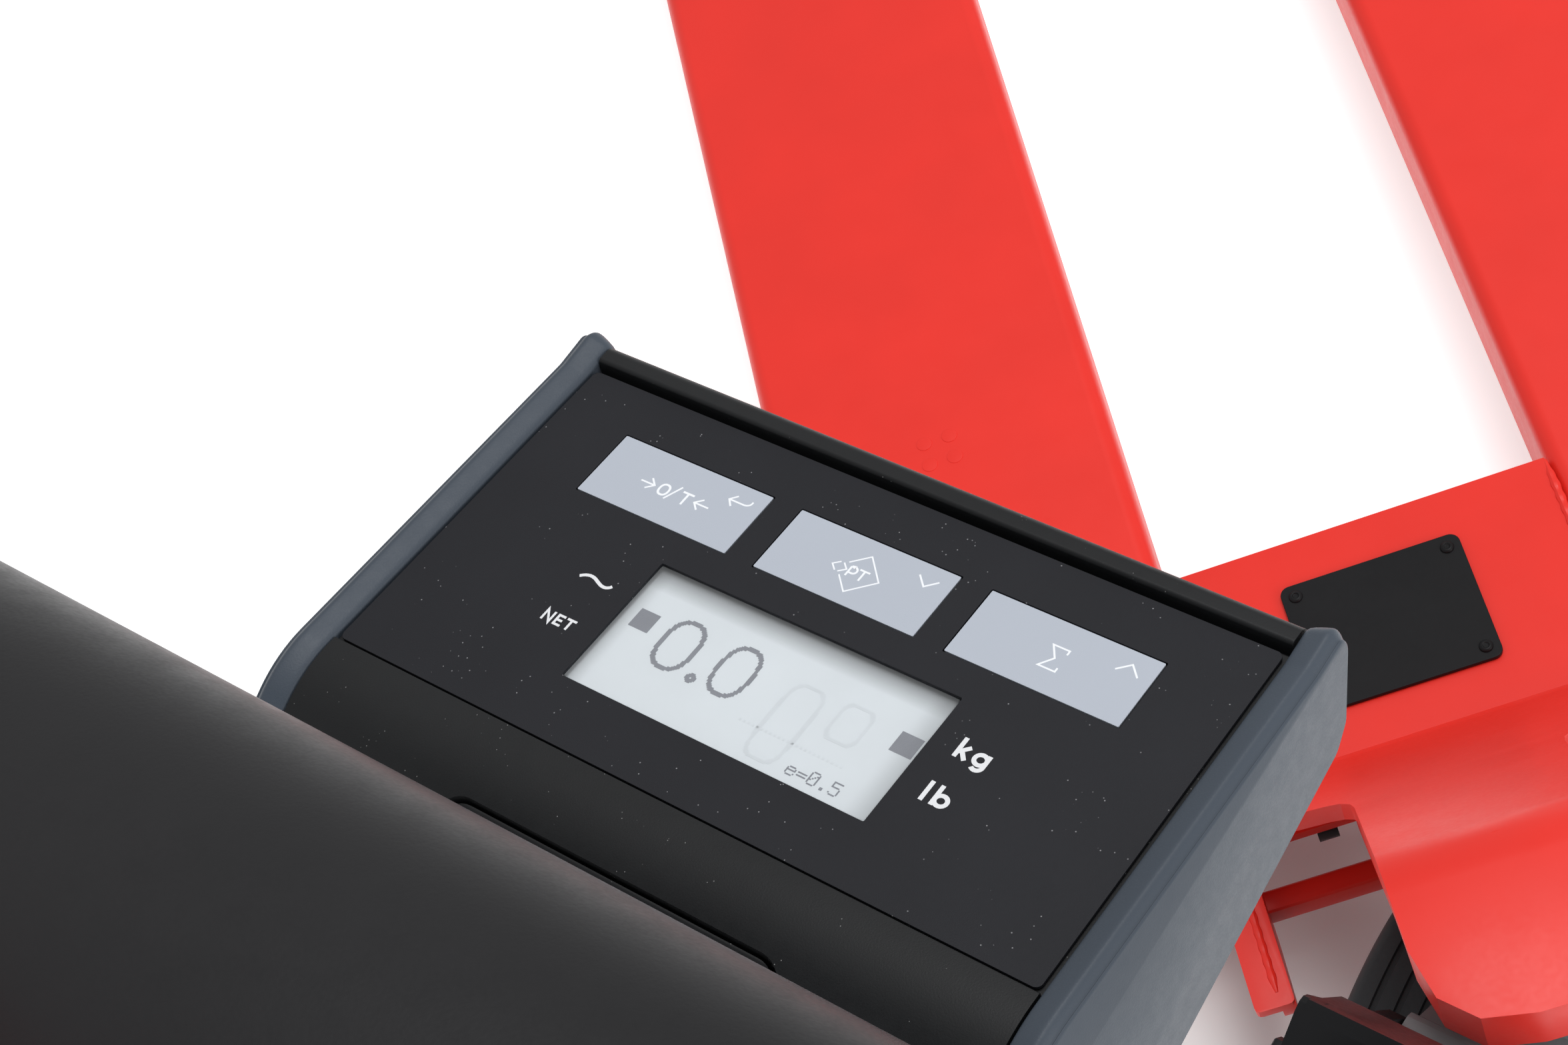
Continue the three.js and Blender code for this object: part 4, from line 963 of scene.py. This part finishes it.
def wheel(side):
    """Tyre with rounded shoulders and shallow grooves on a cast hub with ribs, a bearing and its seal."""
    name = SIDE_NAME[side]
    x = side * 52.5
    axle = x, 0, 90
    shoulder = [(20.5, 74.3), (22.2, 76), (22.5, 78.5), (22.4, 84), (21.2, 86.8), (19.2, 88.8), (16.8, 89.7)]
    tyre = mirrored(shoulder)
    for c in (-10, 0, 10):
        tyre += [(c - 1.5, 90), (c - 1.0, 88.6), (c + 1.0, 88.6), (c + 1.5, 90)]
    bm = bmesh.new()
    spun(bm, tyre + shoulder[::-1], *axle, 96)
    for sign in (-1, 1):
        for radius in (79.2, 82.6):
            rib = [(22.35, radius - 0.7), (22.85, radius - 0.3), (22.85, radius + 0.3), (22.35, radius + 0.7)]
            spun(bm, rib, *axle, 96, 0, sign, cyclic=False)
    make(
        f"wheel_{name}.tyre", bm, STEER, RUBBER, f"steer_wheel_{name}", (f"wheel_tyre_{name}",),
        angle=50,
    )
    bm = bmesh.new()
    web = [
        (20.5, 62.4), (18.5, 61.2), (8, 60.4), (7.5, 58.5), (7.3, 29.5), (8.2, 27), (10.5, 25.6), (20.4, 24.6),
        (21.4, 23.6), (21.4, 19.4),
    ]
    rim = [(-20.5, 62.4), (-20.5, 72.6), (-19.6, 73.7), (19.6, 73.7), (20.5, 72.6)]
    spun(bm, rim + web + mirrored(web[1:])[::-1], *axle, 72)
    for k in range(6):
        angle = math.pi / 3 * k
        cos, sin = math.cos(angle), math.sin(angle)
        for sign in (-1, 1):
            low, high = sorted((x + sign * 7.0, x + sign * 15.5))
            corners = [(24.5, -2.6), (61.2, -2.0), (61.2, 2.0), (24.5, 2.6)]
            outline = [(p[0] * cos - p[1] * sin, 90 + p[0] * sin + p[1] * cos) for p in corners]
            prism(bm, "x", outline, low, high)
    bearing = (  # outer ring, seal, inner ring
        (1, [(20.9, 16.8), (21.2, 17.2), (21.2, 19.0), (20.9, 19.5), (9, 19.5), (9, 16.8)]),
        (2, [(20.3, 15.0), (20.6, 15.4), (20.6, 16.6), (20.3, 17.0), (9, 17.0), (9, 15.0)]),
        (1, [(20.9, 12.9), (21.2, 13.2), (21.2, 14.8), (20.9, 15.2), (9, 15.2), (9, 12.9)]),
    )
    for sign in (-1, 1):
        for index, ring in bearing:
            spun(bm, ring, *axle, 48, index, sign)
    make(
        f"wheel_{name}.hub", bm, STEER, [CAST, STEEL, RUBBER], f"steer_wheel_{name}", (f"wheel_hub_{name}",),
        angle=35,
    )


def axle_clip(side):
    name = SIDE_NAME[side]
    bm = bmesh.new()
    a, b = sorted((side * 75.6, side * 81))
    ring = [(a, 12.9), (a, 18.2), (a + 0.8, 19), (b - 0.8, 19), (b, 18.2), (b, 12.9)]
    lathe(bm, "x", ring, 0, 90, 48, cyclic=True)
    socket_screw(bm, "z", 108.6, 1, (a + b) / 2, 0, 2.2, 0.7)
    make(f"axle_collar_{name}.ring", bm, STEER, STEEL, "pump_unit", (f"axle_clip_{name}",), angle=40)


def ram():
    bm = bmesh.new()
    lathe(bm, "z", [(125, 16.3), (126.2, 17.5), (260.8, 17.5), (262, 16.3)], 0, 0, 64)
    make("ram.rod", bm, STEER, CHROME, "steering_ram", ("lift_ram",))
    bm = bmesh.new()
    profile = [
        (262.3, 24.6), (263, 25.6), (265.6, 26), (266.2, 25.2), (267.8, 25.2), (268.4, 26), (272.8, 25.6),
        (273.7, 24.6),
    ]
    lathe(bm, "z", profile, 0, 0, 64)
    make("ram.thrust_bearing", bm, STEER, STEEL, "steering_ram", ("thrust_bearing",), angle=40)


def plunger():
    bm = bmesh.new()
    profile = [(168, 8), (169, 9), (223.4, 9), (223.5, 11.6), (224.4, 12.5), (228.8, 12.5), (229.7, 11.4)]
    lathe(bm, "z", profile, 0, -90, 48)
    make("plunger.piston", bm, STEER, CHROME, "plunger", ("pump_plunger",), angle=40)


# ---- Tiller ----
BAR_Y, BAR_Z, BAR_A, BAR_B = -343.0, 985.0, 49.5, 29.0
LEAN = math.radians(25.5)
PIVOT_Y, PIVOT_Z = -60, 235
TUBE_R = 17


def leaning(along, out=0.0):
    """The point this far up the lower tiller from its pivot, and this far out in front of it."""
    sin, cos = math.sin(LEAN), math.cos(LEAN)
    return PIVOT_Y - along * sin - out * cos, PIVOT_Z + along * cos - out * sin


def tiller_tube():
    """A leaning tube that bends upright below the indicator, with a weld at its foot."""
    reach = 70.0
    foot = Vector((0, *leaning(84.0)))
    below = Vector((0, -350 + reach * math.sin(LEAN), 843 - reach * math.cos(LEAN)))
    corner = Vector((0, -350, 843))
    above = Vector((0, -348, 843 + reach))
    path = [foot.lerp(below, i / 6) for i in range(6)]
    for i in range(17):
        t = i / 16
        path.append(below * (1 - t) ** 2 + corner * 2 * t * (1 - t) + above * t * t)
    path.append(Vector((0, BAR_Y, BAR_Z - 20)))
    bm = bmesh.new()
    sweep(bm, path, TUBE_R, 48)
    for along, grow in ((28, 1.1), (31, 0.5)):
        at = foot.lerp(below, along / (below - foot).length)
        step = (below - foot).normalized() * 1.2
        band = [at - step, at - step * 0.6, at + step * 0.6, at + step]
        sweep(bm, band, lambda t, g=grow: TUBE_R + g * (0.2 < t < 0.8), 48)
    make("tiller.tube", bm, STEER, BLACK_PAINT, "tiller", ("tiller_tube",), angle=40)


def ellipse(x, inset):
    return [(x, BAR_Y + (BAR_A - inset) * u, BAR_Z + (BAR_B - inset) * v) for u, v in circle(0, 0, 1, 96)]


def handle():
    """Moulded head: an oval bar with rounded ends and a collar for the tube, then the ribbed loop grip."""
    bm = bmesh.new()
    turns = [math.radians(90 * k / 8) for k in range(9)]
    ends = [(150 - 12 * (1 - math.cos(a)), 12 * (1 - math.sin(a))) for a in turns]
    stations = mirrored(ends) + [(-60, 0), (60, 0)] + ends[::-1]
    loft(bm, [ellipse(x, inset) for x, inset in stations])
    body = make("handle.body", bm, STEER, BLACK_PLASTIC, "tiller", ("handle",))
    slot = bmesh.new()
    prism(slot, "z", rectangle(-9, 9, BAR_Y - 34, BAR_Y + 22, 4), BAR_Z - 4, BAR_Z + 40)
    carve(body, [slot], STEER, 0.8, 3, 40)
    body.data.shade_smooth()
    bm = bmesh.new()
    collar = [(923, 22), (923.6, 24.2), (925.5, 25), (950, 25.3), (955, 26.2), (959, 28), (962, 31), (966, 32)]
    lathe(bm, "z", collar, 0, BAR_Y - 2, 64)
    for z in (932, 937, 942):
        lathe(bm, "z", [(z - 1, 24.8), (z - 0.6, 25.8), (z + 0.6, 25.8), (z + 1, 24.8)], 0, BAR_Y - 2, 64)
    socket_screw(bm, "y", BAR_Y - 2 - 24.8, -1, 0, 948, 4, 2.2)
    make("handle.collar", bm, STEER, BLACK_PLASTIC, "tiller", angle=50)
    half = 128.0
    top_y, top_z = BAR_Y - 52, BAR_Z + 146
    mid_y, mid_z = (BAR_Y + top_y) / 2, (BAR_Z + top_z) / 2
    corners = [
        (-half, BAR_Y, BAR_Z), (-half, mid_y, mid_z), (-half + 14, top_y + 8, top_z - 22),
        (-half + 46, top_y, top_z), (0, top_y, top_z),
    ]
    corners += mirrored(corners[:4])[::-1]
    path = smooth_path(corners, 22)
    bm = bmesh.new()
    count = len(path) - 1

    def bulge(t):
        x = abs(path[round(t * count)].x)
        flare = max(0.0, 1 - min(t, 1 - t) * 22)
        return 13.6 + 3.4 * flare**2 + (0.5 if x < 84 else 0.0)

    sweep(bm, path, bulge, 40)
    make("handle.loop", bm, STEER, BLACK_PLASTIC, "tiller")
    bm = bmesh.new()
    for side in (-1, 1):
        profile = [(20, 14.4), (20.6, 15.4)]
        for k in range(10):
            x = 22 + k * 6
            profile += [(x, 15.4), (x + 0.6, 15.9), (x + 3.6, 15.9), (x + 4.2, 15.2), (x + 5.2, 15.2)]
        profile += [(82.4, 15.4), (83, 14.4)]
        lathe(bm, "x", [(side * x, r) for x, r in profile], top_y, top_z, 48)
    make("handle.grips", bm, STEER, RIBBED, "tiller", angle=35)


def control_lever():
    y, z = BAR_Y, BAR_Z
    corners = [
        (y - 16, z + 4, 6), (y + 4, z + 4, 6), (y + 2, z + 30, 10), (y - 26, z + 84, 8), (y - 30, z + 108, 6),
        (y - 44, z + 106, 5), (y - 38, z + 74, 8), (y - 16, z + 26, 10),
    ]
    bm = bmesh.new()
    prism(bm, "x", fillet(corners), -7.5, 7.5)
    prism(bm, "x", rectangle(y - 46, y - 30, z + 96, z + 108, 5.5), -34, 34)
    for x in (-26, -20, 20, 26):
        prism(bm, "x", rectangle(y - 46.6, y - 44, z + 98.5, z + 105.5, 1), x - 0.8, x + 0.8)
    make("lever.blade", bm, STEER, RED, "lever", ("control_lever",), bevel=1.6, steps=4, angle=40)


def cam_roller():
    bm = bmesh.new()
    ring = [(-12, 4.4), (-12, 10.2), (-11.2, 11), (11.2, 11), (12, 10.2), (12, 4.4)]
    lathe(bm, "x", ring, -90, 241, 48, cyclic=True)
    for sign in (-1, 1):
        groove = [(sign * 11.9, 6.2), (sign * 12.1, 6.4), (sign * 12.1, 7.8), (sign * 11.9, 8.0)]
        lathe(bm, "x", groove, -90, 241, 40)
    make("cam.roller", bm, STEER, STEEL, "tiller_cam", ("cam_roller",), angle=40)


# ---- Inside and under the indicator ----
def main_board():
    """Circuit board with a display connector, a processor, passives, mounting screws and a battery plug."""
    bm = bmesh.new()
    prism(bm, "z", rectangle(-80, 80, -36, 40, 2), -10.5, -8.9)
    chips = [
        (-60, 10, 9, 9), (-30, 18, 6, 8), (12, 20, 12, 5), (44, 12, 7, 7), (60, -14, 5, 9), (-64, -20, 7, 5),
    ]
    for x, y, w, h in chips:
        prism(bm, "z", rectangle(x - w, x + w, y - h, y + h, 0.6), -9, -7.9, 1)
    for k in range(14):
        x = -40 + k * 6.1
        prism(bm, "z", rectangle(x - 1, x + 1, 33, 34.4), -9, -8.2, 2)
        prism(bm, "z", rectangle(x - 0.8, x + 0.8, 29, 30.2), -9, -8.3, 1)
    for x in (-75, 75):
        for y in (-31, 35):
            socket_screw(bm, "z", -9, 1, x, y, 2.6, 0.9, 2)
    prism(bm, "z", rectangle(-20, 4, -35, -29, 0.5), -14.5, -10.4, 1)
    make("board.circuit", bm, IND, [BOARD, BLACK_PLASTIC, STEEL], "tiller", ("main_board",))


def battery_pack():
    """Five cells in a holder tray."""
    bm = bmesh.new()
    prism(bm, "z", rectangle(-38, 38, -62, -34, 2.5), -48, -42)
    for k in range(5):
        x = -30.4 + k * 15.2
        lathe(bm, "y", [(-61, 5.6), (-60.6, 6.4), (-36, 6.4), (-35.4, 5.6)], x, -36 + 1.4, 32, index=1)
    for y0, y1 in ((-62, -60.4), (-35.6, -34)):
        prism(bm, "z", rectangle(-38, 38, y0, y1, 0.4), -42.2, -26)
    mats = [BLACK_PLASTIC, STEEL]
    make("battery.pack", bm, IND, mats, "tiller", ("battery_pack",), angle=35)


def cable_gland():
    bm = bmesh.new()
    x, y = GLAND
    thread = [(-28, 5.6)]
    for k in range(7):
        z = -29.2 - k * 1.6
        thread += [(z, 6.0), (z - 0.8, 5.5)]
    thread.append((-41, 5.6))
    lathe(bm, "z", thread, x, y, 36)
    outline = circle(x, y, 9.0, 6)
    small = circle(x, y, 8.2, 6)
    levels = [(-40.5, small), (-41.1, outline), (-45.4, outline), (-46.0, small)]
    loft(bm, [[(p[0], p[1], z) for p in ring] for z, ring in levels])
    lathe(bm, "z", [(-45.5, 7.6), (-48, 7.4), (-50.4, 6.6), (-51.8, 5.2), (-52, 4.0), (-47, 3.8)], x, y, 40)
    make("gland.body", bm, IND, BLACK_PLASTIC, "tiller", ("cable_gland",), angle=30)


def bracket_details(bm):
    def bolts(part):
        for x in (-14, 14):
            hexagon(part, "y", 0, -1, x, 0, 8, 5)

    merge(bm, bolts, Matrix.Translation((0, *leaning(566, 24))) @ Matrix.Rotation(LEAN, 4, "X"))


def base_details(bm):
    for side in (-1, 1):
        cap = [(side * 35.6, 13), (side * 37, 13), (side * 37.8, 12.2), (side * 37.8, 8.4)]
        lathe(bm, "x", cap, PIVOT_Y, PIVOT_Z, 48)
        for along in (84, 104):
            hexagon(bm, "x", side * 35.8, side, *leaning(along), 9, 5)


for side, name in SIDE_NAME.items():
    fork_shell(side)
    # The fork cores take the darker red, which is painted shade.
    refine(f"fork_core_{name}", RED_SHADED, "chassis", 0.8)
    for y, which in zip(CELL_Y, ("rear", "front")):
        refine(f"load_cell_{name}_{which}", STEEL, "chassis", 0.7, 3, (cell_bolts(side, y), TRUCK))
    refine(f"roller_arm_{name}", BLACK_PAINT, f"arm_{name}", 0.9)
    load_roller(side)
    x = side * FORK_X
    pin(
        f"roller_{name}.axle", "x", x - 52, x + 52, 10, ROLLER_Y, ROLLER_R, TRUCK, f"arm_{name}",
        f"roller_axle_{name}", groove=2.2,
    )
    pin(f"arm_{name}.pin", "x", x - 81.5, x + 81.5, 8, ARM_Y, ARM_Z, TRUCK, "chassis", f"arm_pin_{name}")
    refine(f"link_rod_{name}", STEEL, f"link_{name}", 0.8)
    wheel(side)
    axle_clip(side)
refine("lift_rocker", BLACK_PAINT, "rocker", 1.0)
refine("chassis_head", RED, "chassis", 2.2, 4, (head_beads, TRUCK), 25)
refine("junction_box", CAST, "chassis", 0.8)
junction_cover()
refine("pump_body", CAST, "pump_unit", 2.0, 4, (pump_details, STEER), 25)
ram()
plunger()
refine("valve_lever", STEEL, "release_valve", 0.8)
pin("steering.axle", "x", -84, 84, 12.5, 0, 90, STEER, "pump_unit", "steer_axle")
pin("tiller.pin", "x", -40, 40, 8, PIVOT_Y, PIVOT_Z, STEER, "tiller", "tiller_pin", groove=2)
pin("tiller.cam_pin", "x", -38, 38, 4, -90, 241, STEER, "tiller", "cam_pin")
pin("lever.pin", "x", -24, 24, 3, BAR_Y - 6, BAR_Z + 10, STEER, "tiller", "lever_pin")
refine("tiller_base", BLACK_PAINT, "tiller", 1.8, 4, (base_details, STEER), 30)
tiller_tube()
handle()
control_lever()
cam_roller()
refine("indicator_bracket", STEEL, "tiller", 1.0, 3, (bracket_details, STEER))
main_board()
battery_pack()
cable_gland()


# ---- Stage ----
LIGHTS = (  # name, place, target, size in m, power in W
    ("key_light", (1.0, 0.2, 4.0), (0, -0.3, 0.6), 1.8, 80),
    ("fill_light", (2.6, -2.6, 1.9), (0, -0.5, 0.7), 1.6, 40),
)
WORLD_LIGHT = 0.66
# The floor glows evenly, except that the glow fades out near the truck's head, leaving a patch of painted
# shade on the floor under it.
GLOW = 0.5  # the floor's own light, away from the truck's column
GLOW_FROM, GLOW_TO = 0.10, 0.30  # distances in m over which it sets in


def add_stage():
    bm = bmesh.new()
    bmesh.ops.create_grid(bm, x_segments=2, y_segments=2, size=40)
    floor = to_object("floor", bm)
    pale = material(
        "floor", (0.90, 0.90, 0.90), 0.9, specular=0.1, mottle=0.004, mottle_scale=1.5, grain=60, bump=0.02
    )
    shader = pale.node_tree.nodes["Principled BSDF"]
    shader.inputs["Emission Color"].default_value = (1, 1, 1, 1)
    nodes, links = pale.node_tree.nodes, pale.node_tree.links
    away = nodes.new("ShaderNodeVectorMath")
    away.operation = "DISTANCE"
    links.new(nodes.new("ShaderNodeTexCoord").outputs["Object"], away.inputs[0])
    # The middle of the painted shade patch, beside the steering unit's axis.
    away.inputs[1].default_value = TRUCK.translation + Vector((-0.09, 0.09, 0))
    glow = map_range(pale.node_tree, away.outputs["Value"], GLOW_FROM, GLOW_TO, 0.0, GLOW)
    links.new(glow, shader.inputs["Emission Strength"])
    floor.data.materials.append(pale)
    world = bpy.data.worlds.new("studio")
    SCENE.world = world
    world.use_nodes = True
    back = world.node_tree.nodes["Background"]
    back.inputs["Color"].default_value = (1, 1, 1, 1)
    back.inputs["Strength"].default_value = WORLD_LIGHT
    for name, spot, target, size, power in LIGHTS:
        data = bpy.data.lights.new(name, "AREA")
        data.size = size
        data.energy = power
        lamp = bpy.data.objects.new(name, data)
        SCENE.collection.objects.link(lamp)
        direction = Vector(target) - Vector(spot)
        lamp.rotation_euler = direction.to_track_quat("-Z", "Y").to_euler()
        lamp.location = spot
    SCENE.view_settings.view_transform = "Standard"


add_stage()
